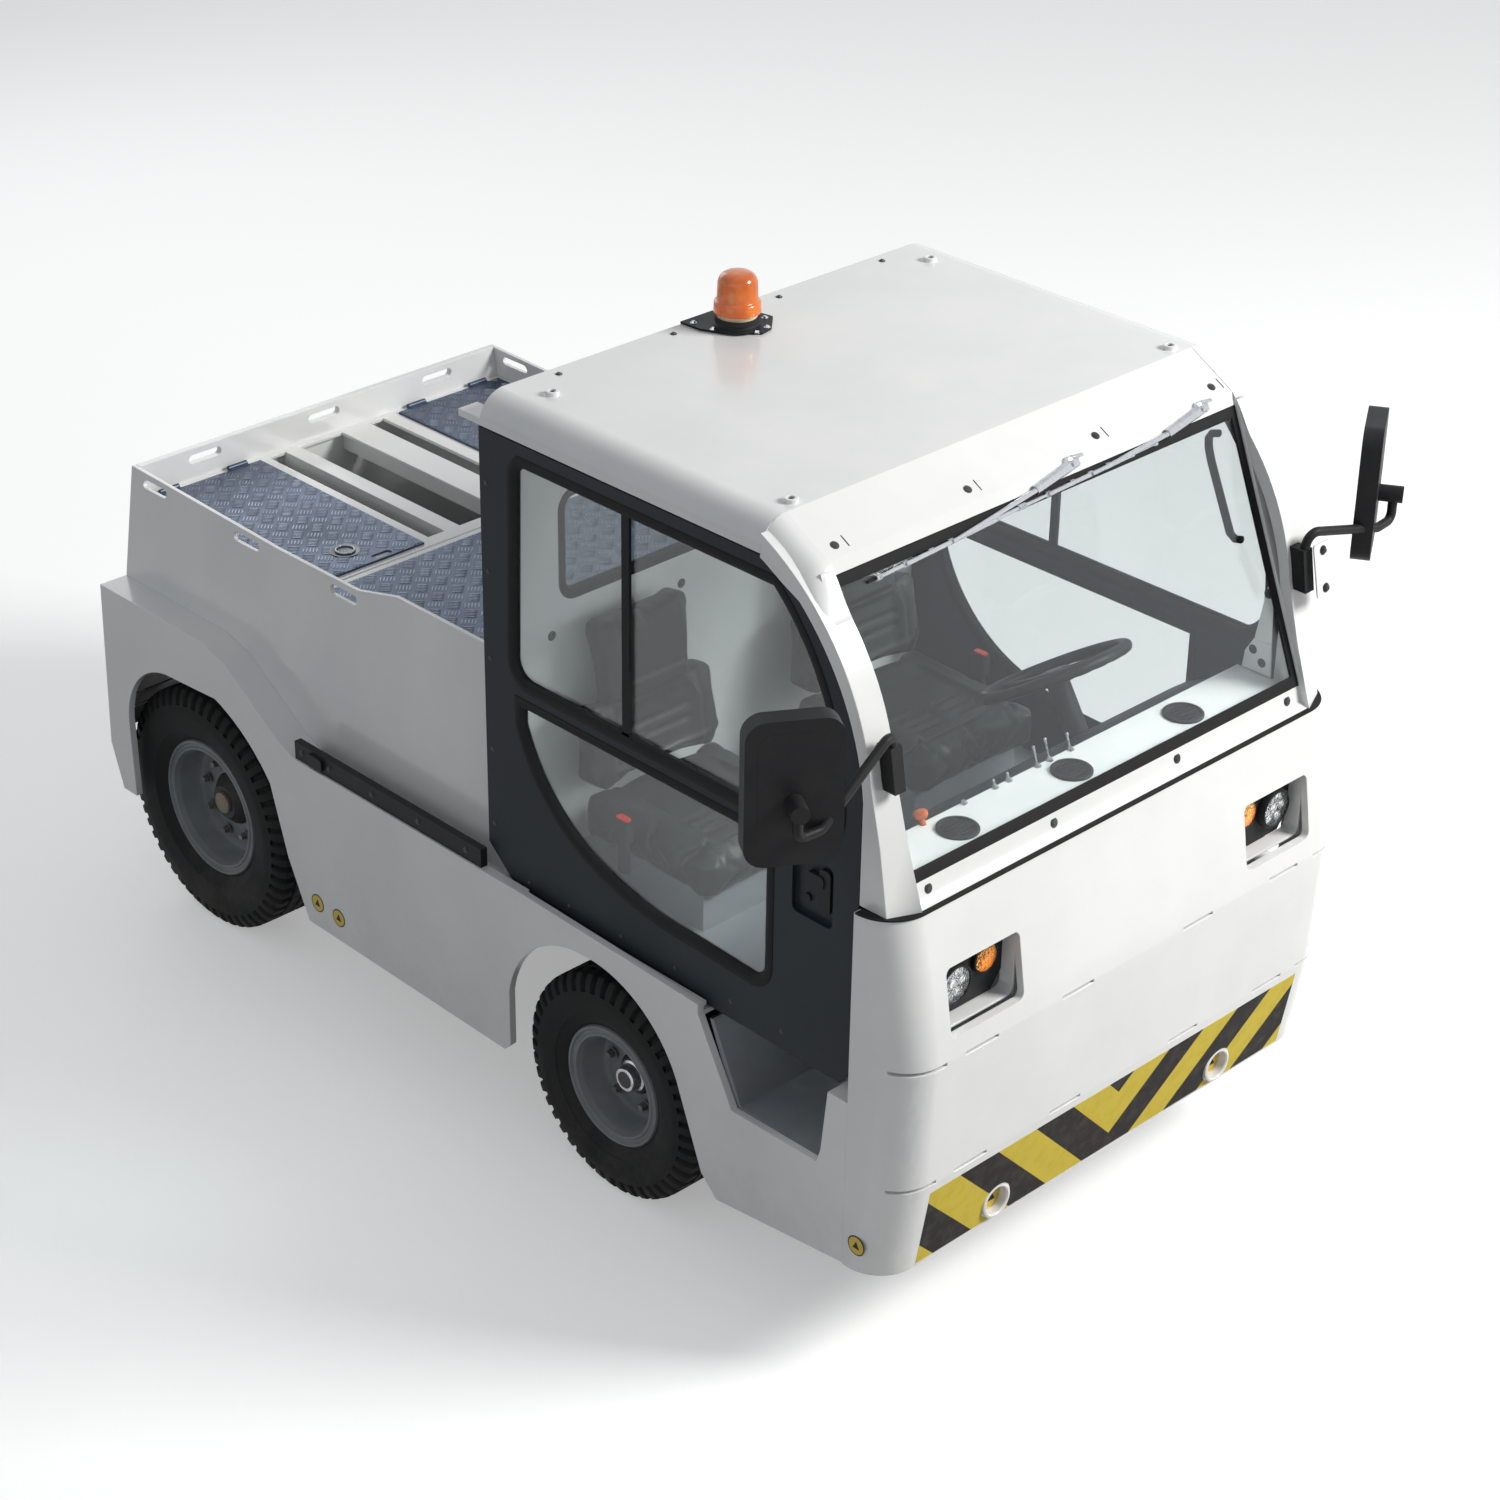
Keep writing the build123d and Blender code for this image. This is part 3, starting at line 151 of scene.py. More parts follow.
soft_light("key", (4.2, -6.2, 6.2), 2.8, 780.0, (1.0, 0.985, 0.96))
soft_light("side_fill", (-7.0, -1.5, 3.5), 4.0, 34.0, (0.90, 0.94, 1.0))
soft_light("rear_fill", (2.0, 7.0, 4.5), 4.0, 70.0)

floor_half = 40
floor_corners = [
    (x * floor_half, y * floor_half, 0) for x, y in ((-1, -1), (1, -1), (1, 1), (-1, 1))
]
floor_mesh = bpy.data.meshes.new("floor")
floor_mesh.from_pydata(floor_corners, [], [(0, 1, 2, 3)])
floor = bpy.data.objects.new("floor", floor_mesh)
bpy.context.scene.collection.objects.link(floor)
floor_white, ground, ground_shader = blank_look(
    "floor_white", {"Roughness": 0.9, "Specular IOR Level": 0.1}
)
floor_tone, floor_tone_seen, floor_glow_seen = 0.40, 0.86, 0.34
ground_seen = seen_plainly(ground)
ground_glow = add_node(ground, "ShaderNodeEmission", {
    "Strength": ramp(ground, ground_seen, 0.0, 1.0, 0.0, floor_glow_seen),
})
ground_sum = add_node(
    ground, "ShaderNodeAddShader", {0: ground_shader.outputs[0], 1: ground_glow.outputs[0]}
)
wire(
    ground,
    (
        ramp(ground, ground_seen, 0.0, 1.0, floor_tone, floor_tone_seen),
        ground_shader.inputs["Base Color"],
    ),
    (ground_sum.outputs[0], ground.nodes["Material Output"].inputs["Surface"]),
)
floor.data.materials.append(floor_white)

# ---------------------------------------------------------------- painted body
# Folded and welded steel plate in glossy white: nose, sides, rear wall, deck frame, cab
# walls, roof and corner posts. Every cut edge is eased and the film is slightly uneven.
def new_group(name, kind, inputs, outputs):
    """An empty node group with named sockets, plus its entry and exit nodes."""
    group = bpy.data.node_groups.new(name, kind)
    for label, value_kind, value in inputs:
        socket = group.interface.new_socket(
            label, in_out="INPUT", socket_type=f"NodeSocket{value_kind}"
        )
        if value is not None:
            socket.default_value = value
    for label, value_kind in outputs:
        group.interface.new_socket(label, in_out="OUTPUT", socket_type=f"NodeSocket{value_kind}")
    return group, group.nodes.new("NodeGroupInput"), group.nodes.new("NodeGroupOutput")


def noise(tree, scale=5.0, detail=4.0, roughness=0.55):
    """Solid noise on object coordinates."""
    place = tree.nodes.new("ShaderNodeTexCoord")
    return add_node(tree, "ShaderNodeTexNoise", {
        "Scale": scale, "Detail": detail, "Roughness": roughness,
        "Vector": place.outputs["Object"],
    }).outputs["Fac"]


def blend_colour(tree, factor, first, second):
    """Mix of two colours, each a socket or a plain colour."""
    mix = add_node(tree, "ShaderNodeMix", {"Factor": factor}, data_type="RGBA")
    colours = [socket for socket in mix.inputs if socket.type == "RGBA"]
    for socket, value in zip(colours, (first, second)):
        feed(tree, socket, value)
    return [socket for socket in mix.outputs if socket.type == "RGBA"][0]


def rgb(red, green, blue):
    """A colour socket's value."""
    return (red, green, blue, 1.0)


# Uneven film: a slow drift between two tones and two roughness values.
uneven_film, film_in, film_out = new_group("uneven_film", "ShaderNodeTree", (
    ("Colour", "Color", rgb(0.8, 0.8, 0.8)), ("Shade", "Color", rgb(0.7, 0.7, 0.7)),
    ("Scale", "Float", 3.0), ("Smooth", "Float", 0.2), ("Dull", "Float", 0.3),
), (("Colour", "Color"), ("Roughness", "Float")))
film_cloud = noise(uneven_film, film_in.outputs["Scale"])
film_tone = blend_colour(
    uneven_film, ramp(uneven_film, film_cloud, 0.35, 0.68),
    film_in.outputs["Colour"], film_in.outputs["Shade"],
)
film_sheen = ramp(
    uneven_film, film_cloud, 0.3, 0.7, film_in.outputs["Smooth"], film_in.outputs["Dull"]
)
wire(
    uneven_film, (film_tone, film_out.inputs["Colour"]),
    (film_sheen, film_out.inputs["Roughness"]),
)

# Road dirt: a brown-grey film that thins out with height and breaks up in patches.
road_dirt, dirt_in, dirt_out = new_group("road_dirt", "ShaderNodeTree", (
    ("Colour", "Color", rgb(0.8, 0.8, 0.8)), ("Dirt", "Color", rgb(0.20, 0.18, 0.15)),
    ("Reach", "Float", 0.7), ("Amount", "Float", 0.3),
), (("Colour", "Color"), ("Mask", "Float")))
dirt_place = road_dirt.nodes.new("ShaderNodeTexCoord")
dirt_height = add_node(
    road_dirt, "ShaderNodeSeparateXYZ", {0: dirt_place.outputs["Object"]}
).outputs["Z"]
dirt_mask = maths(
    road_dirt, "MULTIPLY",
    maths(
        road_dirt, "MULTIPLY",
        ramp(road_dirt, dirt_height, dirt_in.outputs["Reach"], 0.0),
        ramp(road_dirt, noise(road_dirt, 7.0, 8.0, 0.7), 0.40, 0.72),
    ),
    dirt_in.outputs["Amount"],
)
dirt_tone = blend_colour(
    road_dirt, dirt_mask, dirt_in.outputs["Colour"], dirt_in.outputs["Dirt"]
)
wire(road_dirt, (dirt_tone, dirt_out.inputs["Colour"]), (dirt_mask, dirt_out.inputs["Mask"]))

# Fine relief: two octaves of noise as a height, for orange peel, castings and grain.
fine_relief, relief_in, relief_out = new_group(
    "fine_relief", "ShaderNodeTree",
    (("Scale", "Float", 100.0), ("Coarse", "Float", 0.3)), (("Height", "Float"),),
)
relief_size = relief_in.outputs["Scale"]
relief_height = maths(
    fine_relief, "MULTIPLY_ADD",
    noise(fine_relief, maths(fine_relief, "MULTIPLY", relief_size, 0.18), 3.0),
    relief_in.outputs["Coarse"], noise(fine_relief, relief_size, 2.0),
)
wire(fine_relief, (relief_height, relief_out.inputs["Height"]))


def finish(
    name, colour, shade, smooth, dull, scale=3.0, relief=(180.0, 0.3, 0.0003),
    dirt=0.0, reach=0.7, metallic=0.0, coat=0.0, specular=0.5,
):
    """A coated or moulded surface: uneven film, fine relief and some road dirt."""
    look, tree, shader = blank_look(name, {
        "Metallic": metallic, "Coat Weight": coat, "Coat Roughness": 0.06,
        "Specular IOR Level": specular,
    })
    film = add_node(tree, "ShaderNodeGroup", {
        "Colour": colour, "Shade": shade, "Scale": scale, "Smooth": smooth, "Dull": dull,
    }, node_tree=uneven_film)
    tinted = film.outputs["Colour"]
    if dirt:
        tinted = add_node(
            tree, "ShaderNodeGroup", {"Amount": dirt, "Reach": reach, "Colour": tinted},
            node_tree=road_dirt,
        ).outputs["Colour"]
    relief_scale, coarse, depth = relief
    peel = add_node(
        tree, "ShaderNodeGroup", {"Scale": relief_scale, "Coarse": coarse}, node_tree=fine_relief
    )
    bump = add_node(
        tree, "ShaderNodeBump",
        {"Distance": depth, "Strength": 1.0, "Height": peel.outputs["Height"]},
    )
    wire(
        tree, (tinted, shader.inputs["Base Color"]),
        (film.outputs["Roughness"], shader.inputs["Roughness"]),
        (bump.outputs["Normal"], shader.inputs["Normal"]),
    )
    return look


def in_body(node):
    """The body that a CAD node rides on."""
    for body, names in frame["record"]["behaviour"]["bodies"].items():
        if node in names:
            return body
    return "root"


def in_scene(name, mesh):
    """A new object in the scene."""
    piece = bpy.data.objects.new(name, mesh)
    bpy.context.scene.collection.objects.link(piece)
    return piece


def as_piece(name, shape, looks, body="root", stands_for=(), crease=35.0):
    """A finished piece from a mesh: normals outward, flat faces kept flat, riding on a body."""
    bmesh.ops.recalc_face_normals(shape, faces=shape.faces)
    mesh = bpy.data.meshes.new(name)
    shape.to_mesh(mesh)
    shape.free()
    for look in looks if isinstance(looks, (list, tuple)) else (looks,):
        mesh.materials.append(look)
    mesh.shade_smooth()
    mesh.set_sharp_from_angle(angle=math.radians(crease))
    piece = in_scene(name, mesh)
    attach(piece, body)
    if stands_for:
        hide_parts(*stands_for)
    return piece


def node_copy(node):
    """A CAD node's shape, its loose triangles joined into whole flat faces where they make a
    patch without holes."""
    shape = bmesh.new()
    shape.from_mesh(nodes[node].data)
    bmesh.ops.remove_doubles(shape, verts=shape.verts, dist=2e-5)
    flat, waiting, patches = math.radians(0.8), set(shape.faces), []
    while waiting:
        patch, front = set(), [waiting.pop()]
        while front:
            face = front.pop()
            patch.add(face)
            for edge in face.edges:
                if edge.is_manifold and edge.calc_face_angle(1.0) < flat:
                    for other in edge.link_faces:
                        if other in waiting:
                            waiting.discard(other)
                            front.append(other)
        corners = {vert for face in patch for vert in face.verts}
        sides = {edge for face in patch for edge in face.edges}
        if len(patch) > 1 and len(corners) - len(sides) + len(patch) == 1:
            patches.append(list(patch))
    for patch in patches:
        bmesh.ops.dissolve_faces(shape, faces=patch, use_verts=False)
    return shape


def eased(node, width, look, corner=28.0, steps=2, crisp=None):
    """The CAD node with its sharp edges rounded off a little, as a piece in its place."""
    shape = node_copy(node)
    sharp = [
        edge for edge in shape.edges
        if edge.is_manifold and edge.calc_face_angle(0.0) > math.radians(corner)
        and not (crisp and all(crisp(vert.co) for vert in edge.verts))
    ]
    bmesh.ops.bevel(
        shape, geom=sharp, offset=width, offset_type="OFFSET", segments=steps, profile=0.5,
        affect="EDGES", clamp_overlap=False, harden_normals=False,
    )
    piece = as_piece(f"{node}_skin", shape, look, in_body(node), (node,))
    weighted = piece.modifiers.new("weighted", "WEIGHTED_NORMAL")
    weighted.keep_sharp = True


def in_glass_rebate(point):
    """True near the narrow rebate that holds the glass, whose edges stay crisp."""
    return abs(abs(point.x) - 0.668) < 0.020


white_paint = finish(
    "white_paint", rgb(0.80, 0.80, 0.79), rgb(0.74, 0.75, 0.75), 0.16, 0.26,
    relief=(260.0, 0.5, 0.00012), dirt=0.25, reach=0.55, coat=0.30, specular=0.35,
)
for node in (
    "nose_panel", "body_side_right", "body_side_left", "side_wall_right", "side_wall_left",
    "rear_panel", "deck_frame", "cab_rear_wall", "cab_roof",
):
    eased(node, 0.0015, white_paint)
eased("cab_front_frame", 0.0022, white_paint, steps=3, crisp=in_glass_rebate)

# ---------------------------------------------------------------- wheels
# Solid-shouldered black tyres on pressed steel rims painted grey: a stepped flange ring, a
# deep dish, and a disc held to the hub by domed nuts; the front hubs have chromed caps.
def skin(shape, rings, closed=False, capped=False, index=0):
    """Join rings of points into a skin, back to the first ring or with flat ends. A ring may
    be one point over and over, as at a pole."""
    faces = []
    for near, far in zip(rings, rings[1:] + rings[:1] if closed else rings[1:]):
        for k in range(len(near)):
            after = (k + 1) % len(near)
            corners = dict.fromkeys((near[k], far[k], far[after], near[after]))
            if len(corners) > 2:
                faces.append(shape.faces.new(list(corners)))
    if capped:
        faces += [shape.faces.new(rings[0]), shape.faces.new(rings[-1][::-1])]
    for face in faces:
        face.material_index = index
    return faces


def around(first, second, steps):
    """Unit vectors at even steps from the first direction towards the second and on."""
    turns = [2.0 * math.pi * k / steps for k in range(steps)]
    return [first * math.cos(turn) + second * math.sin(turn) for turn in turns]


def turned(shape, profile, centre, axis, steps=48, index=0):
    """Add a lathe-turned form: (distance along the axis, radius) pairs swept round the axis."""
    axis = Vector(axis).normalized()
    side = axis.orthogonal().normalized()
    spokes = around(side, axis.cross(side), steps)
    rings = []
    for along, radius in profile:
        foot = Vector(centre) + axis * along
        if radius < 1e-6:
            rings.append([shape.verts.new(foot)] * steps)
        else:
            rings.append([shape.verts.new(foot + spoke * radius) for spoke in spokes])
    skin(shape, rings, index=index)


# Fasteners: a tapered head on a thin washer, set on points that carry their direction.
fastener_tree, spot_in, made_out = new_group("fasteners", "GeometryNodeTree", (
    ("Spots", "Geometry", None), ("Head Radius", "Float", 0.006),
    ("Head Height", "Float", 0.004), ("Sides", "Int", 12), ("Washer Radius", "Float", 0.008),
    ("Finish", "Material", None),
), (("Made", "Geometry"),))
head_taper, washer_t = 0.72, 0.0012
head_radius = spot_in.outputs["Head Radius"]
head = add_node(fastener_tree, "GeometryNodeMeshCone", {
    "Radius Top": maths(fastener_tree, "MULTIPLY", head_radius, head_taper),
    "Radius Bottom": head_radius, "Depth": spot_in.outputs["Head Height"],
    "Vertices": spot_in.outputs["Sides"],
})
washer = add_node(fastener_tree, "GeometryNodeMeshCylinder", {
    "Vertices": 20, "Depth": washer_t, "Radius": spot_in.outputs["Washer Radius"],
})
head_lift = add_node(fastener_tree, "ShaderNodeCombineXYZ", {"Z": washer_t / 2})
head_on_washer = add_node(fastener_tree, "GeometryNodeTransform", {
    "Geometry": head.outputs["Mesh"], "Translation": head_lift.outputs[0],
})
whole = fastener_tree.nodes.new("GeometryNodeJoinGeometry")
facing = add_node(
    fastener_tree, "GeometryNodeInputNamedAttribute", {"Name": "facing"},
    data_type="FLOAT_VECTOR",
)
upright = add_node(
    fastener_tree, "FunctionNodeAlignRotationToVector",
    {"Vector": facing.outputs["Attribute"]}, axis="Z",
)
set_heads = add_node(fastener_tree, "GeometryNodeInstanceOnPoints", {
    "Points": spot_in.outputs["Spots"], "Instance": whole.outputs[0],
    "Rotation": upright.outputs["Rotation"],
})
real_heads = add_node(
    fastener_tree, "GeometryNodeRealizeInstances", {"Geometry": set_heads.outputs["Instances"]}
)
finished_heads = add_node(fastener_tree, "GeometryNodeSetMaterial", {
    "Geometry": real_heads.outputs["Geometry"], "Material": spot_in.outputs["Finish"],
})
wire(
    fastener_tree, (washer.outputs["Mesh"], whole.inputs[0]),
    (head_on_washer.outputs["Geometry"], whole.inputs[0]),
    (finished_heads.outputs["Geometry"], made_out.inputs["Made"]),
)


def baked(holder):
    """The mesh that an object's modifiers make. The object itself is removed."""
    made = bpy.data.meshes.new_from_object(
        holder.evaluated_get(bpy.context.evaluated_depsgraph_get())
    )
    bpy.data.objects.remove(holder)
    return made


def grow(name, tree, values, spots=()):
    """Run a Geometry Nodes tree on (place, direction) spots and return one plain mesh."""
    cloud = bpy.data.meshes.new(f"{name}_points")
    cloud.from_pydata([place for place, direction in spots], [], [])
    directions = cloud.attributes.new("facing", "FLOAT_VECTOR", "POINT")
    for item, (place, direction) in zip(directions.data, spots):
        item.vector = direction
    holder = in_scene(f"{name}_points", cloud)
    maker = holder.modifiers.new("maker", "NODES")
    maker.node_group = tree
    for item in tree.interface.items_tree:
        if item.item_type == "SOCKET" and item.in_out == "INPUT" and item.name in values:
            maker[item.identifier] = values[item.name]
    return baked(holder)


def fasteners(
    name, spots, radius, height, look, body="root", sides=12, washer=1.35
):
    """Screws, rivets or nuts at (place, direction) spots."""
    made = grow(name, fastener_tree, {
        "Head Radius": radius, "Head Height": height, "Sides": sides,
        "Washer Radius": radius * washer, "Finish": look,
    }, spots)
    made.name = name
    made.set_sharp_from_angle(angle=math.radians(35.0))
    piece = in_scene(name, made)
    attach(piece, body)


tyre_rubber = finish(
    "tyre_rubber", rgb(0.013, 0.014, 0.016), rgb(0.030, 0.030, 0.029), 0.55, 0.85, scale=9.0,
    relief=(420.0, 0.6, 0.0005), dirt=0.35, reach=0.30, specular=0.12,
)
rim_paint = finish(
    "rim_paint", rgb(0.22, 0.235, 0.245), rgb(0.16, 0.175, 0.185), 0.34, 0.52, scale=8.0,
    relief=(300.0, 0.6, 0.0003), dirt=0.45, reach=0.55, specular=0.25,
)
hub_black = finish(
    "hub_black", rgb(0.012, 0.012, 0.013), rgb(0.03, 0.028, 0.025), 0.4, 0.6, dirt=0.3,
    specular=0.2,
)
plated = finish(
    "plated", rgb(0.62, 0.63, 0.65), rgb(0.48, 0.49, 0.50), 0.12, 0.3, scale=40.0,
    metallic=1.0,
)
nut_steel = finish(
    "nut_steel", rgb(0.20, 0.20, 0.20), rgb(0.12, 0.11, 0.10), 0.35, 0.55, scale=60.0,
    metallic=0.8,
)
brown_cap = finish("brown_cap", rgb(0.24, 0.19, 0.13), rgb(0.17, 0.14, 0.10), 0.4, 0.6)

seat_half, flange_t, bead_drop, disc_inset, disc_half = 0.062, 0.007, 0.022, 0.020, 0.008
face_x = seat_half + flange_t
disc_face = disc_half - disc_inset
notch_steps = 6


def tyre_section(half, tread_r, flange_r):
    """Half of a tyre's section: distance from the middle, radius, drop inside a notch."""
    wall_r = (flange_r + tread_r) / 2
    return (
        (seat_half, flange_r - bead_drop, 0.0), (seat_half, flange_r + 0.001, 0.0),
        (seat_half + 0.006, flange_r + 0.010, 0.0),
        (half - 0.010, flange_r + 0.030, 0.0), (half - 0.007, flange_r + 0.032, 0.0),
        (half - 0.001, wall_r, 0.0), (half - 0.0005, wall_r + 0.012, 0.0),
        (half - 0.004, tread_r - 0.042, 0.0), (half - 0.004, tread_r - 0.038, 0.012),
        (half - 0.010, tread_r - 0.018, 0.014), (half - 0.022, tread_r - 0.002, 0.013),
        (half - 0.030, tread_r, 0.013), (half - 0.052, tread_r, 0.012),
        (half - 0.054, tread_r - 0.009, 0.0), (half - 0.062, tread_r - 0.009, 0.0),
        (half - 0.064, tread_r, 0.002), (0.006, tread_r, 0.002), (0.004, tread_r - 0.008, 0.0),
    )


def tyre(centre, outward, section, blocks):
    """A tyre whose shoulders are notched into blocks."""
    shape = bmesh.new()
    whole_section = list(section) + [(-d, r, n) for d, r, n in reversed(section)]
    rings = []
    spokes = around(Vector((0.0, 1.0, 0.0)), Vector((0.0, 0.0, 1.0)), blocks * notch_steps)
    for k, spoke in enumerate(spokes):
        ring = []
        for along, radius, notch in whole_section:
            drop = notch if k % notch_steps in (0, 1) else 0.0
            inward = 0.5 * drop * (1.0 if along > 0 else -1.0)
            across = Vector((outward * (along - inward), 0.0, 0.0))
            ring.append(shape.verts.new(centre + across + spoke * (radius - drop)))
        rings.append(ring)
    skin(shape, rings, closed=True)
    return shape


def rim(centre, axis, flange_r, nut_circle, hub_r):
    """Flange ring with two steps, dish, disc and inner flange, turned as one closed section."""
    skin_r = flange_r - bead_drop - 0.001
    shape = bmesh.new()
    turned(shape, (
        (face_x - 0.004, flange_r), (face_x, flange_r - 0.003),
        (face_x, flange_r - 0.009), (face_x - 0.005, flange_r - 0.012),
        (face_x - 0.005, flange_r - 0.019), (face_x - 0.002, flange_r - 0.022),
        (face_x - 0.002, flange_r - 0.028), (face_x - 0.014, flange_r - 0.033),
        (face_x - 0.020, flange_r - 0.036), (disc_face + 0.012, skin_r - 0.016),
        (disc_face + 0.003, skin_r - 0.021), (disc_face, skin_r - 0.030),
        (disc_face, nut_circle + 0.022), (disc_face + 0.003, nut_circle + 0.016),
        (disc_face + 0.003, hub_r + 0.002), (disc_face, hub_r),
        (-disc_half - disc_inset, hub_r), (-disc_half - disc_inset, skin_r - 0.024),
        (-face_x + 0.010, skin_r - 0.010), (-face_x, skin_r - 0.008), (-face_x, flange_r),
        (-seat_half, flange_r), (-seat_half, skin_r), (seat_half, skin_r),
        (seat_half, flange_r), (face_x - 0.004, flange_r),
    ), centre, axis, 72)
    bmesh.ops.remove_doubles(shape, verts=shape.verts, dist=1e-6)
    return shape


def hub_profiles(end, hub_r):
    """Profiles of a hub and its cap, from the wheel's middle outwards, and the cap's steps."""
    inner = ((-0.045, 0.0), (-0.045, hub_r - 0.002))
    if end == "front":
        return inner + (
            (disc_face + 0.006, hub_r - 0.002), (disc_face + 0.010, hub_r - 0.006),
            (disc_face + 0.010, 0.0),
        ), (
            (disc_face + 0.008, 0.0), (disc_face + 0.008, 0.040), (disc_face + 0.014, 0.040),
            (disc_face + 0.016, 0.034), (disc_face + 0.036, 0.032), (disc_face + 0.040, 0.029),
            (disc_face + 0.040, 0.017), (disc_face + 0.037, 0.015), (disc_face + 0.037, 0.0),
        ), 40
    return inner + (
        (disc_face + 0.010, hub_r - 0.002), (disc_face + 0.030, hub_r - 0.022),
        (disc_face + 0.034, hub_r - 0.026), (disc_face + 0.034, 0.0),
    ), (
        (disc_face + 0.030, 0.0), (disc_face + 0.030, 0.030), (disc_face + 0.042, 0.030),
        (disc_face + 0.045, 0.026), (disc_face + 0.045, 0.0),
    ), 32


# Columns: end, flange radius, shoulder blocks, nuts, nut circle's radius, hub radius, cap.
for end, flange_r, blocks, nut_count, nut_circle, hub_r, cap_look in (
    ("front", 0.157, 46, 5, 0.078, 0.050, plated), ("rear", 0.194, 54, 8, 0.105, 0.072, brown_cap),
):
    for side_name, outward in (("right", -1.0), ("left", 1.0)):
        wheel = f"{end}_{side_name}"
        body = f"wheel_{wheel}"
        low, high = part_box(f"tyre_{wheel}")
        centre = (low + high) / 2
        axis = Vector((outward, 0.0, 0.0))
        section = tyre_section((high.x - low.x) / 2, (high.z - low.z) / 2, flange_r)
        as_piece(
            f"tyre_{wheel}_tread", tyre(centre, outward, section, blocks), tyre_rubber, body,
            (f"tyre_{wheel}",), crease=28.0,
        )
        as_piece(
            f"rim_{wheel}_pressing", rim(centre, axis, flange_r, nut_circle, hub_r), rim_paint,
            body, (f"rim_{wheel}",), crease=40.0,
        )
        hub_profile, cap_profile, cap_steps = hub_profiles(end, hub_r)
        hub_shape = bmesh.new()
        turned(hub_shape, hub_profile, centre, axis, 40)
        turned(hub_shape, cap_profile, centre, axis, cap_steps, 1)
        as_piece(
            f"hub_{wheel}", hub_shape, (hub_black, cap_look), body,
            crease=40.0,
        )
        nut_places = []
        for k in range(nut_count):
            turn = 2.0 * math.pi * (k + 0.3) / nut_count
            nut_places.append(centre + axis * (disc_face + 0.011) + Vector((
                0.0, nut_circle * math.cos(turn), nut_circle * math.sin(turn)
            )))
        fasteners(
            f"nuts_{wheel}", [(place, axis) for place in nut_places], radius=0.012,
            height=0.016, look=nut_steel, body=body, sides=6, washer=1.25,
        )

# ---------------------------------------------------------------- chequer plates
# Aluminium five-bar plate for the bay cover and the two deck hatches: raised bars in square
# cells that alternate by a quarter turn, set askew to the sheared edges.
def coated(node, look):
    """Give a CAD node its finish."""
    for material_slot in nodes[node].material_slots:
        material_slot.material = look


tread_tree, tread_in, tread_out = new_group("five_bar_pattern", "GeometryNodeTree", (
    ("Base", "Geometry", None), ("Count", "Int", 20), ("Cell", "Float", 0.045),
    ("Bar Length", "Float", 0.037), ("Bar Width", "Float", 0.005),
    ("Bar Height", "Float", 0.0018), ("Bar Pitch", "Float", 0.0086),
    ("Finish", "Material", None),
), (("Made", "Geometry"),))
bar_pitch, cell_count = tread_in.outputs["Bar Pitch"], tread_in.outputs["Count"]
bar = add_node(tread_tree, "GeometryNodeMeshCone", {
    "Vertices": 8, "Radius Top": 0.36, "Radius Bottom": 0.5, "Depth": 1.0,
})
bar_size = add_node(tread_tree, "ShaderNodeCombineXYZ", {
    "X": tread_in.outputs["Bar Length"], "Y": tread_in.outputs["Bar Width"],
    "Z": tread_in.outputs["Bar Height"],
})
bar_shaped = add_node(tread_tree, "GeometryNodeTransform", {
    "Geometry": bar.outputs["Mesh"], "Scale": bar_size.outputs[0],
})
bar_step = add_node(tread_tree, "ShaderNodeCombineXYZ", {"Y": bar_pitch})
bar_start = add_node(
    tread_tree, "ShaderNodeCombineXYZ", {"Y": maths(tread_tree, "MULTIPLY", bar_pitch, -2.0)}
)
bar_row = add_node(tread_tree, "GeometryNodeMeshLine", {
    "Count": 5, "Offset": bar_step.outputs[0], "Start Location": bar_start.outputs[0],
}, mode="OFFSET")
cell_bars = add_node(tread_tree, "GeometryNodeInstanceOnPoints", {
    "Points": bar_row.outputs["Mesh"], "Instance": bar_shaped.outputs["Geometry"],
})
grid_side = maths(
    tread_tree, "MULTIPLY", maths(tread_tree, "SUBTRACT", cell_count, 1.0),
    tread_in.outputs["Cell"],
)
cells = add_node(tread_tree, "GeometryNodeMeshGrid", {
    "Size X": grid_side, "Size Y": grid_side, "Vertices X": cell_count,
    "Vertices Y": cell_count,
})
cell_index = tread_tree.nodes.new("GeometryNodeInputIndex").outputs[0]
column = maths(tread_tree, "FLOOR", maths(tread_tree, "DIVIDE", cell_index, cell_count))
row = maths(tread_tree, "MODULO", cell_index, cell_count)
odd_cell = maths(tread_tree, "MODULO", maths(tread_tree, "ADD", row, column), 2.0)
cell_turn = add_node(tread_tree, "ShaderNodeCombineXYZ", {
    "Z": maths(tread_tree, "MULTIPLY", odd_cell, math.pi / 2),
})
placed = add_node(tread_tree, "GeometryNodeInstanceOnPoints", {
    "Points": cells.outputs["Mesh"], "Instance": cell_bars.outputs["Instances"],
    "Rotation": cell_turn.outputs[0],
})
askew = add_node(tread_tree, "GeometryNodeTransform", {
    "Rotation": (0.0, 0.0, math.radians(45.0)), "Geometry": placed.outputs["Instances"],
})
solid_bars = add_node(
    tread_tree, "GeometryNodeRealizeInstances", {"Geometry": askew.outputs["Geometry"]}
)
finished_bars = add_node(tread_tree, "GeometryNodeSetMaterial", {
    "Geometry": solid_bars.outputs["Geometry"], "Material": tread_in.outputs["Finish"],
})
wire(tread_tree, (finished_bars.outputs["Geometry"], tread_out.inputs["Made"]))

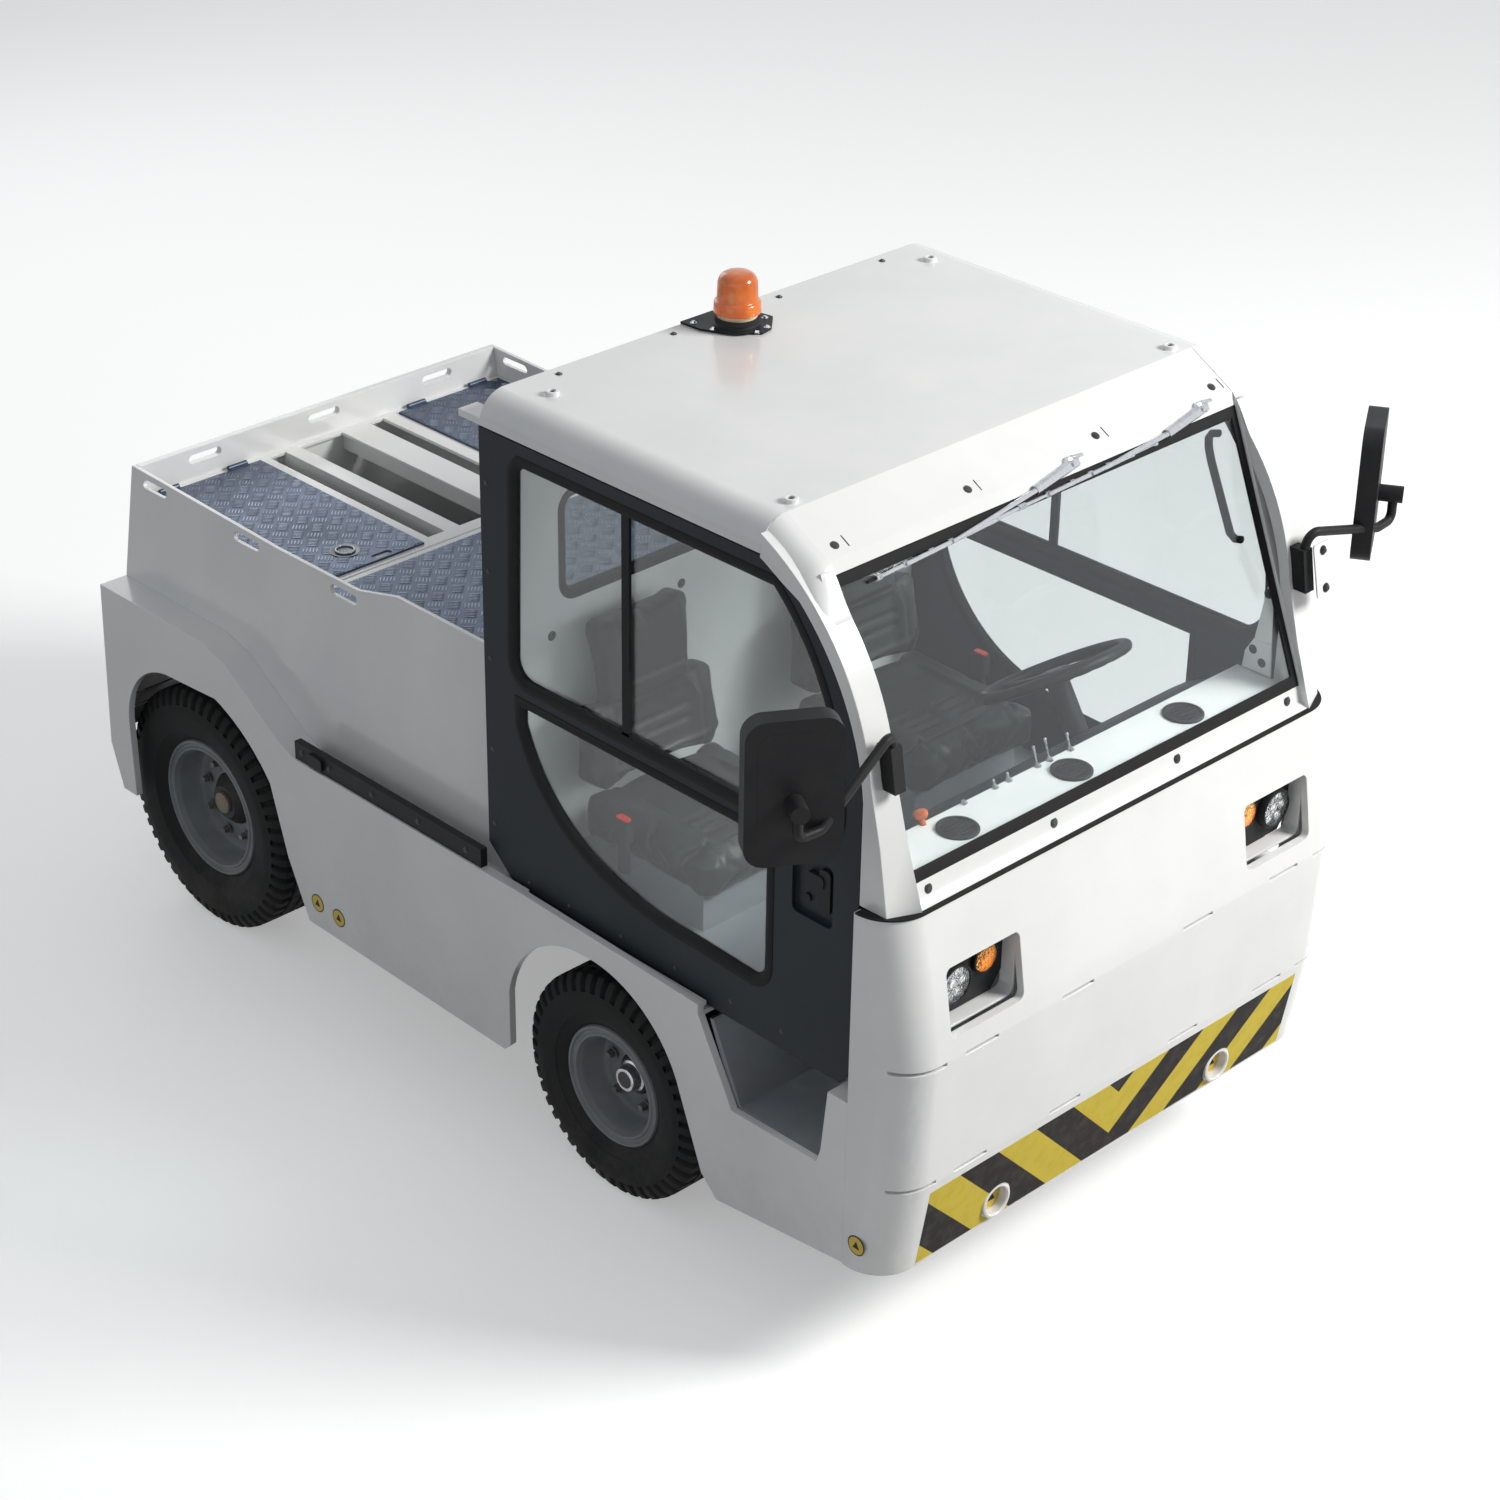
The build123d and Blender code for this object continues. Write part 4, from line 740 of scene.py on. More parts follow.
# Painted shade: the plate and its bars are coloured a dark, cool blue-grey, like plates lying
# under the cab's shadow, over the metal's own grey. The bars are lighter, as worn tops.
shaded_plate_metal = finish(
    "shaded_plate_metal", rgb(0.080, 0.102, 0.150), rgb(0.062, 0.078, 0.113), 0.30, 0.44, scale=5.0,
    relief=(500.0, 0.8, 0.0002), metallic=0.9,
)
worn_and_shaded_bars = finish(
    "worn_and_shaded_bars", rgb(0.18, 0.205, 0.255), rgb(0.13, 0.15, 0.19), 0.22, 0.36, scale=22.0,
    relief=(700.0, 0.6, 0.0001), metallic=0.95,
)
ring_steel = finish(
    "ring_steel", rgb(0.30, 0.31, 0.33), rgb(0.18, 0.18, 0.19), 0.2, 0.4, metallic=0.9
)
pattern_cell, plate_rise, bar_sink, edge_strip = 0.045, 0.006, 0.0003, 0.004


def islands(shape):
    """The separate groups of joined points in a shape."""
    found, seen = [], set()
    for start in shape.verts:
        if start in seen:
            continue
        island, waiting = [], [start]
        seen.add(start)
        while waiting:
            vert = waiting.pop()
            island.append(vert)
            for edge in vert.link_edges:
                other = edge.other_vert(vert)
                if other not in seen:
                    seen.add(other)
                    waiting.append(other)
        found.append(island)
    return found


def bars_on(node, edges, holes, top):
    """Five-bar pattern on a plate, cut off at its edges and left out over its holes."""
    low_x, high_x, low_y, high_y = edges
    reach = (high_x - low_x + high_y - low_y) * math.sqrt(0.5)
    made = grow(f"{node}_pattern", tread_tree, {
        "Count": 2 * math.ceil(reach / pattern_cell / 2) + 1, "Cell": pattern_cell,
        "Finish": worn_and_shaded_bars,
    })
    shape = bmesh.new()
    shape.from_mesh(made)
    bpy.data.meshes.remove(made)
    middle = Vector(((low_x + high_x) / 2, (low_y + high_y) / 2, top - bar_sink))
    bmesh.ops.translate(shape, verts=shape.verts, vec=middle)
    for point, normal in (
        ((low_x, 0, 0), (-1, 0, 0)), ((high_x, 0, 0), (1, 0, 0)),
        ((0, low_y, 0), (0, -1, 0)), ((0, high_y, 0), (0, 1, 0)),
    ):
        cut = bmesh.ops.bisect_plane(
            shape, geom=shape.verts[:] + shape.edges[:] + shape.faces[:], dist=1e-6,
            plane_co=point, plane_no=normal, clear_outer=True,
        )
        rims = [e for e in cut["geom_cut"] if isinstance(e, bmesh.types.BMEdge)]
        bmesh.ops.holes_fill(shape, edges=rims, sides=0)
    for hole_low_x, hole_high_x, hole_low_y, hole_high_y in holes:
        over_hole = [
            vert for island in islands(shape) if any(
                hole_low_x < v.co.x < hole_high_x and hole_low_y < v.co.y < hole_high_y
                for v in island
            ) for vert in island
        ]
        bmesh.ops.delete(shape, geom=over_hole, context="VERTS")
    as_piece(
        f"{node}_bars", shape, worn_and_shaded_bars, in_body(node), crease=25.0
    )


finger_slot_x, finger_slot_half = 0.364, (0.033, 0.014)
hinge_xs, hinge_half, hinge_depth = (0.310, 0.533), 0.034, 0.030
for node in ("deck_hatch_right", "deck_hatch_left", "bay_cover"):
    coated(node, shaded_plate_metal)
    low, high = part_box(node)
    low_y, high_y, holes = low.y, high.y, []
    if node == "bay_cover":
        low_y += 0.019
    else:
        mirror_side = -1.0 if node.endswith("right") else 1.0
        slot_x, slot_y = mirror_side * finger_slot_x, low.y + 0.019
        half_x, half_y = finger_slot_half
        high_y -= 0.016
        holes.append((slot_x - half_x, slot_x + half_x, slot_y - half_y, slot_y + half_y))
        for x in hinge_xs:
            hinge_x = mirror_side * x
            holes.append(
                (hinge_x - hinge_half, hinge_x + hinge_half, high.y - hinge_depth, high.y)
            )
    edges = (low.x + edge_strip, high.x - edge_strip, low_y + edge_strip, high_y - edge_strip)
    bars_on(node, edges, holes, low.z + plate_rise)

# ---------------------------------------------------------------- nose markings
# A painted band of yellow and black chevrons along the lower fold, left off round the two
# towing pockets, which are lined with a white tube over a yellow plate.
band_look, band_tree, band_shader = blank_look(
    "chevron_paint", {"Roughness": 0.45, "Specular IOR Level": 0.04}
)
band_foot_z, stripe = 0.268, 0.125
band_place = band_tree.nodes.new("ShaderNodeTexCoord")
band_split = add_node(band_tree, "ShaderNodeSeparateXYZ", {0: band_place.outputs["Object"]})
climb = maths(
    band_tree, "SUBTRACT", maths(band_tree, "ABSOLUTE", band_split.outputs["X"]),
    band_split.outputs["Z"],
)
shifted = maths(band_tree, "ADD", climb, band_foot_z + 8.0 * stripe + 0.050)
ragged = maths(band_tree, "MULTIPLY_ADD", noise(band_tree, 60.0, 3.0), 0.0012, shifted)
is_black = maths(band_tree, "LESS_THAN", maths(band_tree, "MODULO", ragged, 2.0 * stripe), stripe)
scuff = ramp(band_tree, noise(band_tree, 30.0, 6.0), 0.45, 0.75)
band_black = blend_colour(band_tree, scuff, rgb(0.022, 0.019, 0.018), rgb(0.05, 0.045, 0.04))
band_yellow = blend_colour(band_tree, scuff, rgb(0.66, 0.52, 0.07), rgb(0.60, 0.45, 0.05))
band_colour = blend_colour(band_tree, is_black, band_yellow, band_black)
wire(band_tree, (band_colour, band_shader.inputs["Base Color"]))

# Columns: height, foremost Y of the nose at that height.
nose_folds = (
    (1.180, -1.441), (1.042, -1.474), (0.881, -1.500), (0.827, -1.505), (0.514, -1.490),
    (0.268, -1.450),
)


def nose_y(z):
    """Foremost Y of the nose plate at a height."""
    for (high_z, high_y), (low_z, low_y) in zip(nose_folds, nose_folds[1:]):
        if z >= low_z:
            return low_y + (high_y - low_y) * (z - low_z) / (high_z - low_z)
    return nose_folds[-1][1]


def slab(shape, outline, near, far, place, index=0):
    """Add a prism: an outline of 2-D points carried from one depth to another by place()."""
    rings = [[shape.verts.new(place(u, v, depth)) for u, v in outline] for depth in (near, far)]
    return skin(shape, rings, capped=True, index=index)


def lying(u, v, depth):
    """A flat outline seen from above, with depth upwards."""
    return (u, v, depth)


def facing_ahead(u, v, depth):
    """A flat outline seen from the front or back."""
    return (u, depth, v)


def facing_aside(u, v, depth):
    """A flat outline seen from the side."""
    return (depth, u, v)


paint_t = 0.0004
pocket_x, pocket_z, pocket_r, pocket_gap = 0.389, 0.327, 0.040, 0.006
band_low_z, band_high_z, band_half = 0.276, 0.486, 0.638
band_shape = bmesh.new()
for hole_x, far_x in (
    (-pocket_x, -band_half), (-pocket_x, 0.0), (pocket_x, 0.0), (pocket_x, band_half)
):
    toward = 1.0 if far_x > hole_x else -1.0
    outline = [(hole_x, band_low_z)]
    for degrees in range(0, 181, 12):
        turn = math.radians(degrees)
        outline.append((
            hole_x + toward * (pocket_r + pocket_gap) * math.sin(turn),
            pocket_z - (pocket_r + pocket_gap) * math.cos(turn),
        ))
    outline += [(hole_x, band_high_z), (far_x, band_high_z), (far_x, band_low_z)]
    slab(band_shape, outline, -paint_t, 0.002, lambda x, z, depth: (x, nose_y(z) + depth, z))
bmesh.ops.triangulate(band_shape, faces=[f for f in band_shape.faces if len(f.verts) > 4])
as_piece("chevron_band", band_shape, band_look)

sign_yellow = finish("sign_yellow", rgb(0.72, 0.50, 0.04), rgb(0.62, 0.42, 0.03), 0.3, 0.45)
deep_black = finish(
    "deep_black", rgb(0.010, 0.010, 0.011), rgb(0.016, 0.016, 0.016), 0.4, 0.6, specular=0.2
)
arrow = ((0.0, 0.019), (-0.017, -0.012), (0.017, -0.012))
mouth = nose_y(pocket_z)
for side_name, side in (("right", -1.0), ("left", 1.0)):
    centre = (side * pocket_x, mouth, pocket_z)
    lining = bmesh.new()
    turned(lining, (
        (-0.004, pocket_r + 0.004), (-0.006, pocket_r + 0.001), (-0.006, pocket_r - 0.003),
        (-0.003, pocket_r - 0.006), (0.030, pocket_r - 0.006), (0.030, pocket_r + 0.0005),
        (0.000, pocket_r + 0.0005), (0.000, pocket_r + 0.004), (-0.004, pocket_r + 0.004),
    ), centre, (0, 1, 0), 48)
    bmesh.ops.remove_doubles(lining, verts=lining.verts, dist=1e-6)
    as_piece(f"pocket_lining_{side_name}", lining, white_paint)
    plaque = bmesh.new()
    turned(plaque, (
        (0.018, 0.0), (0.018, pocket_r - 0.008), (0.022, pocket_r - 0.0065),
        (0.026, pocket_r - 0.0065), (0.026, 0.0),
    ), centre, (0, 1, 0), 40)
    outline = [(centre[0] + x, pocket_z + z) for x, z in arrow]
    slab(plaque, outline, mouth + 0.0166, mouth + 0.019, facing_ahead, 1)
    as_piece(
        f"pocket_plate_{side_name}", plaque, (sign_yellow, deep_black),
    )

# ---------------------------------------------------------------- front lamps
# Each recess is closed by a black shield with cut lower corners. It carries a round cluster
# of seven reflector cups under a clear lens, and a smaller amber direction lamp above it.
def rounded(width, height, radius, steps=5, centre=(0.0, 0.0)):
    """Corner-rounded rectangle as 2-D points."""
    points = []
    for corner, (sx, sy) in enumerate(((1, 1), (-1, 1), (-1, -1), (1, -1))):
        for k in range(steps + 1):
            turn = math.pi / 2 * (corner + k / steps)
            points.append((
                centre[0] + sx * (width / 2 - radius) + radius * math.cos(turn),
                centre[1] + sy * (height / 2 - radius) + radius * math.sin(turn),
            ))
    return points


def clear_look(name, tint, roughness=0.02, ior=1.45, prism_scale=None):
    """Clear or tinted glass that lets lamps through without a heavy shadow."""
    look, tree, shader = blank_look(
        name, {"Base Color": tint, "IOR": ior, "Transmission Weight": 1.0}
    )
    smear = ramp(tree, noise(tree, 3.0, 5.0), 0.4, 0.75, roughness, roughness + 0.006)
    wire(tree, (smear, shader.inputs["Roughness"]))
    if prism_scale:
        place = tree.nodes.new("ShaderNodeTexCoord")
        prisms = add_node(tree, "ShaderNodeTexVoronoi", {
            "Scale": prism_scale, "Vector": place.outputs["Object"],
        })
        dent = add_node(tree, "ShaderNodeBump", {
            "Distance": 0.0012, "Height": prisms.outputs["Distance"],
        })
        wire(tree, (dent.outputs["Normal"], shader.inputs["Normal"]))
    path = tree.nodes.new("ShaderNodeLightPath")
    open_glass = add_node(tree, "ShaderNodeBsdfTransparent", {"Color": tint})
    either = add_node(tree, "ShaderNodeMixShader", {
        0: path.outputs["Is Shadow Ray"], 1: shader.outputs[0], 2: open_glass.outputs[0],
    })
    wire(tree, (either.outputs[0], tree.nodes["Material Output"].inputs["Surface"]))
    return look


black_plastic = finish(
    "black_plastic", rgb(0.014, 0.014, 0.016), rgb(0.022, 0.022, 0.023), 0.38, 0.55, scale=12.0,
    relief=(900.0, 0.4, 0.0002), specular=0.15,
)
reflector = finish(
    "reflector", rgb(0.78, 0.79, 0.80), rgb(0.62, 0.63, 0.65), 0.08, 0.2, metallic=1.0
)
led_yellow = finish("led_yellow", rgb(0.85, 0.82, 0.55), rgb(0.80, 0.75, 0.45), 0.3, 0.4)
amber_core = finish("amber_core", rgb(0.86, 0.50, 0.06), rgb(0.74, 0.40, 0.04), 0.2, 0.4)
lamp_glass = clear_look("lamp_glass", rgb(0.98, 0.985, 0.99), 0.02, prism_scale=110.0)
amber_glass = clear_look("amber_glass", rgb(0.96, 0.66, 0.16), 0.05, prism_scale=160.0)

lamp_low, lamp_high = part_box("headlamps")
blink_low, blink_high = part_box("indicators")
shield_t, shield_gap, corner_cut_x, corner_cut_z = 0.004, 0.004, 0.030, 0.045
recess_w, recess_half_h, recess_wall = 0.229, 0.0805, 0.006
lamp_r, blink_r, cup_circle = 0.045, 0.034, 0.027
lamp_face_y = lamp_high.y - 0.006
recess_out_x = lamp_high.x - recess_wall
recess_in_x = recess_out_x - recess_w
lamp_x, lamp_z = recess_out_x - 0.066, (lamp_low.z + lamp_high.z) / 2
blink_x, blink_z = blink_high.x - blink_r, (blink_low.z + blink_high.z) / 2
shield_outline = (
    (recess_in_x, -recess_half_h + corner_cut_z),
    (recess_in_x + corner_cut_x, -recess_half_h + shield_gap),
    (recess_out_x - corner_cut_x, -recess_half_h + shield_gap),
    (recess_out_x, -recess_half_h + corner_cut_z), (recess_out_x, recess_half_h),
    (recess_in_x, recess_half_h),
)
# Turned parts, each as (finish number, steps, profile).
cluster_parts = (
    # bezel round the cluster
    (0, 48, (
        (-0.003, lamp_r + 0.006), (-0.020, lamp_r + 0.004), (-0.024, lamp_r + 0.001),
        (-0.024, lamp_r - 0.002), (-0.018, lamp_r - 0.004), (-0.003, lamp_r - 0.006),
        (-0.003, lamp_r + 0.006),
    )),
    # mirror plate behind the cups
    (1, 48, (
        (-0.0042, 0.0), (-0.0042, lamp_r - 0.005), (-0.012, lamp_r - 0.0035),
        (-0.013, lamp_r - 0.0035), (-0.003, lamp_r - 0.003), (-0.003, 0.0),
    )),
)
cup_parts = (
    (1, 20, (
        (-0.0135, 0.0125), (-0.0145, 0.0122), (-0.0145, 0.0112), (-0.009, 0.0085),
        (-0.006, 0.003), (-0.006, 0.0),
    )),
    (1, 20, ((-0.0135, 0.0125), (-0.0045, 0.0122))),
    # yellow light source
    (2, 12, (
        (-0.010, 0.0), (-0.0098, 0.0016), (-0.0085, 0.0025), (-0.0055, 0.0025), (-0.0055, 0.0),
    )),
)
lens_parts = ((3, 48, (
    (-0.027, 0.0), (-0.0265, 0.020), (-0.0245, 0.036), (-0.022, lamp_r - 0.002),
    (-0.0205, lamp_r - 0.002), (-0.0225, 0.036), (-0.0245, 0.020), (-0.025, 0.0),
)),)
blink_parts = (
    # bezel, core and amber lens
    (0, 40, (
        (-0.003, blink_r + 0.005), (-0.014, blink_r + 0.003), (-0.016, blink_r),
        (-0.014, blink_r - 0.002), (-0.003, blink_r - 0.003), (-0.003, blink_r + 0.005),
    )),
    (1, 40, (
        (-0.0045, 0.0), (-0.0045, blink_r - 0.003), (-0.003, blink_r - 0.003), (-0.003, 0.0),
    )),
    (2, 40, (
        (-0.023, 0.0), (-0.0225, 0.015), (-0.020, 0.026), (-0.015, blink_r - 0.002),
        (-0.006, blink_r - 0.0025), (-0.0055, 0.0),
    )),
)


def turned_parts(shape, parts, centre, axis=(0, 1, 0)):
    """Add several turned parts, given as (finish number, steps, profile), on one axis."""
    for index, steps, profile in parts:
        turned(shape, profile, centre, axis, steps, index)


clusters, direction_lamps = bmesh.new(), bmesh.new()
for side in (-1.0, 1.0):
    outline = [(side * x, lamp_z + z) for x, z in shield_outline]
    slab(clusters, outline, lamp_face_y - shield_t, lamp_face_y + 0.003, facing_ahead)
    lamp_centre = Vector((side * lamp_x, lamp_face_y, lamp_z))
    turned_parts(clusters, cluster_parts, lamp_centre)
    cups = around(Vector((1.0, 0.0, 0.0)), Vector((0.0, 0.0, 1.0)), 6)
    for cup in [Vector()] + cups:
        turned_parts(clusters, cup_parts, lamp_centre + cup * cup_circle)
    turned_parts(clusters, lens_parts, lamp_centre)
    turned_parts(direction_lamps, blink_parts, (side * blink_x, lamp_face_y, blink_z))
for shape in (clusters, direction_lamps):
    bmesh.ops.remove_doubles(shape, verts=shape.verts, dist=1e-6)
as_piece(
    "headlamp_clusters", clusters, (black_plastic, reflector, led_yellow, lamp_glass),
    stands_for=("headlamps",),
)
as_piece(
    "direction_lamps", direction_lamps, (black_plastic, amber_core, amber_glass),
    stands_for=("indicators",),
)

# ---------------------------------------------------------------- doors
# Flat sliding leaves in matt anthracite, each with two bonded windows in wide black rubber,
# a recessed pull with its latch, and screws along the lower rail and up the rear edge.
door_paint = finish(
    "door_paint", rgb(0.020, 0.026, 0.034), rgb(0.015, 0.020, 0.026), 0.34, 0.44, scale=2.5,
    relief=(500.0, 0.6, 0.00015), dirt=0.10, reach=0.9, specular=0.15,
)
rubber = finish(
    "rubber", rgb(0.012, 0.012, 0.013), rgb(0.020, 0.020, 0.020), 0.5, 0.7, scale=14.0,
    relief=(600.0, 0.5, 0.0003), specular=0.12,
)
pane_glass = clear_look("pane_glass", rgb(0.86, 0.90, 0.90), 0.0, 1.5)
screw_black = finish(
    "screw_black", rgb(0.03, 0.03, 0.032), rgb(0.05, 0.05, 0.05), 0.3, 0.45, metallic=0.6
)


def pane_faces(node, normal):
    """Corner points, direction and area of a pane's flat faces that look along a direction."""
    shape = node_copy(node)
    found = [
        ([vert.co.copy() for vert in face.verts], face.normal.copy(), face.calc_area())
        for face in shape.faces if face.normal.dot(Vector(normal)) > 0.5
    ]
    shape.free()
    return found


def seal_round(shape, loop, normal, profile):
    """Sweep a profile of (outward, along the normal) pairs round a flat closed loop."""
    normal = Vector(normal).normalized()
    middle = sum(loop, Vector()) / len(loop)
    outs = []
    for k, point in enumerate(loop):
        before = (point - loop[k - 1]).normalized().cross(normal)
        after = (loop[(k + 1) % len(loop)] - point).normalized().cross(normal)
        out = (before + after).normalized()
        outs.append(out / max(0.5, out.dot(before)))
    if sum(out.dot(point - middle) for out, point in zip(outs, loop)) < 0:
        outs = [-out for out in outs]
    skin(shape, [
        [shape.verts.new(point + out * wide + normal * high) for wide, high in profile]
        for point, out in zip(loop, outs)
    ], closed=True)


divider_share, rail_z, pull_z = 0.60, 1.268, 1.150
rail_screw_up, edge_screw_in = 0.052, 0.022
rail_screw_ys = (-1.10, -0.94, -0.76, -0.58, -0.40, -0.26)
edge_screw_zs = (0.86, 1.06, 1.30, 1.52, 1.74)
for side_name, outward in (("right", -1.0), ("left", 1.0)):
    body = f"door_leaf_{side_name}"
    leaf_low, leaf_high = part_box(f"door_{side_name}")
    glass_low, glass_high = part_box(f"door_glass_{side_name}")
    eased(f"door_{side_name}", 0.0012, door_paint)
    coated(f"door_glass_{side_name}", pane_glass)
    face_x, inner_x, glass_x = leaf_high.x, leaf_low.x, glass_high.x
    if outward < 0:
        face_x, inner_x, glass_x = leaf_low.x, leaf_high.x, glass_low.x
    rise, back = abs(face_x - glass_x), abs(inner_x - glass_x)
    seal = bmesh.new()
    for loop, normal, area in pane_faces(f"door_glass_{side_name}", (outward, 0, 0)):
        # outer lip on the leaf's face, then down on to the glass
        seal_round(seal, loop, (outward, 0, 0), (
            (0.012, rise - 0.0005), (0.012, rise + 0.0012), (0.009, rise + 0.0028),
            (-0.004, rise + 0.0030), (-0.012, rise - 0.001), (-0.017, 0.003), (-0.018, 0.0006),
            (-0.0175, -0.0002), (-0.001, -0.0002), (-0.001, rise - 0.0005),
        ))
        seal_round(seal, loop, (-outward, 0, 0), (
            (0.010, back - 0.0005), (0.010, back + 0.0010), (0.006, back + 0.0020),
            (-0.004, back + 0.0020), (-0.012, back - 0.002), (-0.016, 0.0075), (-0.0155, 0.0062),
            (-0.001, 0.0062), (-0.001, back - 0.0005),
        ))
    as_piece(f"door_seals_{side_name}", seal, rubber, body)
    # divider and lower runner of the sliding pane
    divider = bmesh.new()
    slide_y = leaf_low.y + (leaf_high.y - leaf_low.y) * divider_share
    for low_y, high_y, low_z, high_z in (
        (slide_y - 0.012, slide_y + 0.012, rail_z + 0.004, glass_high.z - 0.002),
        (leaf_low.y + 0.090, leaf_high.y - 0.130, rail_z + 0.006, rail_z + 0.020),
    ):
        middle = ((low_y + high_y) / 2, (low_z + high_z) / 2)
        slab(
            divider, rounded(high_y - low_y, high_z - low_z, 0.004, 3, middle),
            glass_x + outward * 0.008, glass_x + outward * 0.0002, facing_aside,
        )
    as_piece(f"pane_divider_{side_name}", divider, rubber, body)
    # latch in the recess of the pull: a back plate, its handle and the lock
    latch = bmesh.new()
    pull_y, floor_x = leaf_low.y + 0.135, face_x - outward * 0.014
    for outline, rise_from, rise_to in (
        (rounded(0.034, 0.105, 0.010, 4, (pull_y - 0.030, pull_z + 0.005)), 0.0, 0.009),
        (rounded(0.052, 0.030, 0.009, 4, (pull_y - 0.004, pull_z + 0.024)), 0.003, 0.0125),
        (rounded(0.020, 0.020, 0.0098, 5, (pull_y + 0.024, pull_z - 0.034)), 0.0, 0.005),
    ):
        slab(
            latch, outline, floor_x + outward * rise_to, floor_x + outward * rise_from,
            facing_aside,
        )
    as_piece(f"door_latch_{side_name}", latch, black_plastic, body)
    places = [(face_x, y, leaf_low.z + rail_screw_up) for y in rail_screw_ys]
    places += [(face_x, leaf_high.y - edge_screw_in, z) for z in edge_screw_zs]
    fasteners(
        f"door_screws_{side_name}", [(place, (outward, 0, 0)) for place in places],
        radius=0.0045, height=0.0018, look=screw_black, body=body,
    )

# Door rails: black channels bolted along the fender ledge.
coated("door_rails", black_plastic)

# ---------------------------------------------------------------- windscreen
# Flat tinted glass bonded in a wide black rubber, over a lower strip held by domed rivets.
# The rear window is a smaller pane in the same rubber.
screen_glass = clear_look("screen_glass", rgb(0.78, 0.81, 0.81), 0.0, 1.5)
coated("windscreen", screen_glass)
coated("rear_window", pane_glass)
rivet_steel = finish(
    "rivet_steel", rgb(0.05, 0.05, 0.055), rgb(0.09, 0.09, 0.09), 0.25, 0.4, metallic=0.8
)


def front_face(node):
    """Outline and direction of a pane's largest face that looks forward."""
    loop, normal, area = max(pane_faces(node, (0, -1, 0)), key=lambda face: face[2])
    return loop, normal


screen_loop, screen_normal = front_face("windscreen")
rear_loop, rear_normal = front_face("rear_window")
window_rubbers = bmesh.new()
seal_round(window_rubbers, screen_loop, screen_normal, (
    (0.0105, -0.0085), (0.0105, 0.0005), (0.008, 0.0025), (-0.010, 0.0030), (-0.017, 0.0015),
    (-0.0175, 0.0001), (0.0002, 0.0001), (0.0002, -0.0082), (-0.016, -0.0082),
    (-0.016, -0.0100), (0.008, -0.0105),
))
# The rear window's lip is the same on both faces, and starts behind the pane on the inside.
for normal, depth in ((rear_normal, 0.0), (-rear_normal, 0.006)):
    seal_round(window_rubbers, rear_loop, normal, [(wide, high + depth) for wide, high in (
        (0.014, 0.0092), (0.010, 0.0115), (-0.008, 0.0110), (-0.013, 0.0060), (-0.014, 0.0002),
        (-0.001, 0.0002), (-0.001, 0.0085),
    )])
as_piece("window_rubbers", window_rubbers, rubber)

strip_y, strip_rivet_z, strip_normal = -1.4055, 1.2075, (0.0, -0.95, 0.31)
fasteners("strip_rivets", [
    ((x, strip_y, strip_rivet_z), strip_normal) for x in (-0.602, -0.207, 0.207, 0.602)
], radius=0.0085, height=0.0045, look=rivet_steel, sides=16)

# ---------------------------------------------------------------- wipers
# Two plated arms in folded channels on clamped spindles over the glass, each with a bridged
# blade: a primary bridge, two rockers with claws, and a rubber strip.
bright_metal = finish(
    "bright_metal", rgb(0.58, 0.59, 0.61), rgb(0.44, 0.45, 0.47), 0.20, 0.30, scale=50.0,
    relief=(180.0, 0.3, 0.00004), metallic=1.0,
)
screen_foot, screen_h = Vector((0.0, -1.395, 1.226)), 0.683
up_screen = Vector((0.0, screen_normal.z, -screen_normal.y))
# Section of a folded bar: across in widths, outwards in heights.
bar_section = ((-0.5, 0.0), (0.5, 0.0), (0.5, 0.6), (0.32, 1.0), (-0.32, 1.0), (-0.5, 0.6))
# Columns: start and end along the blade, width, gap under it.
bridges = ((0.22, 0.78, 0.010, 0.0125), (0.06, 0.38, 0.008, 0.0095), (0.62, 0.94, 0.008, 0.0095))


def on_screen(place, out):
    """A point over the windscreen: (across, up the glass from its foot) and off its face."""
    return screen_foot + Vector((place[0], 0, 0)) + up_screen * place[1] + screen_normal * out


def bar_between(shape, start, end, widths, heights, base):
    """A tapered flat bar over the glass between two places."""
    run = end - start
    side = Vector((-run.y, run.x)).normalized()
    skin(shape, [
        [
            shape.verts.new(on_screen(place + side * wide * across, base + high * out))
            for across, out in bar_section
        ] for place, wide, high in zip((start, end), widths, heights)
    ], capped=True)


wiper_arms, wiper_rubbers = bmesh.new(), bmesh.new()
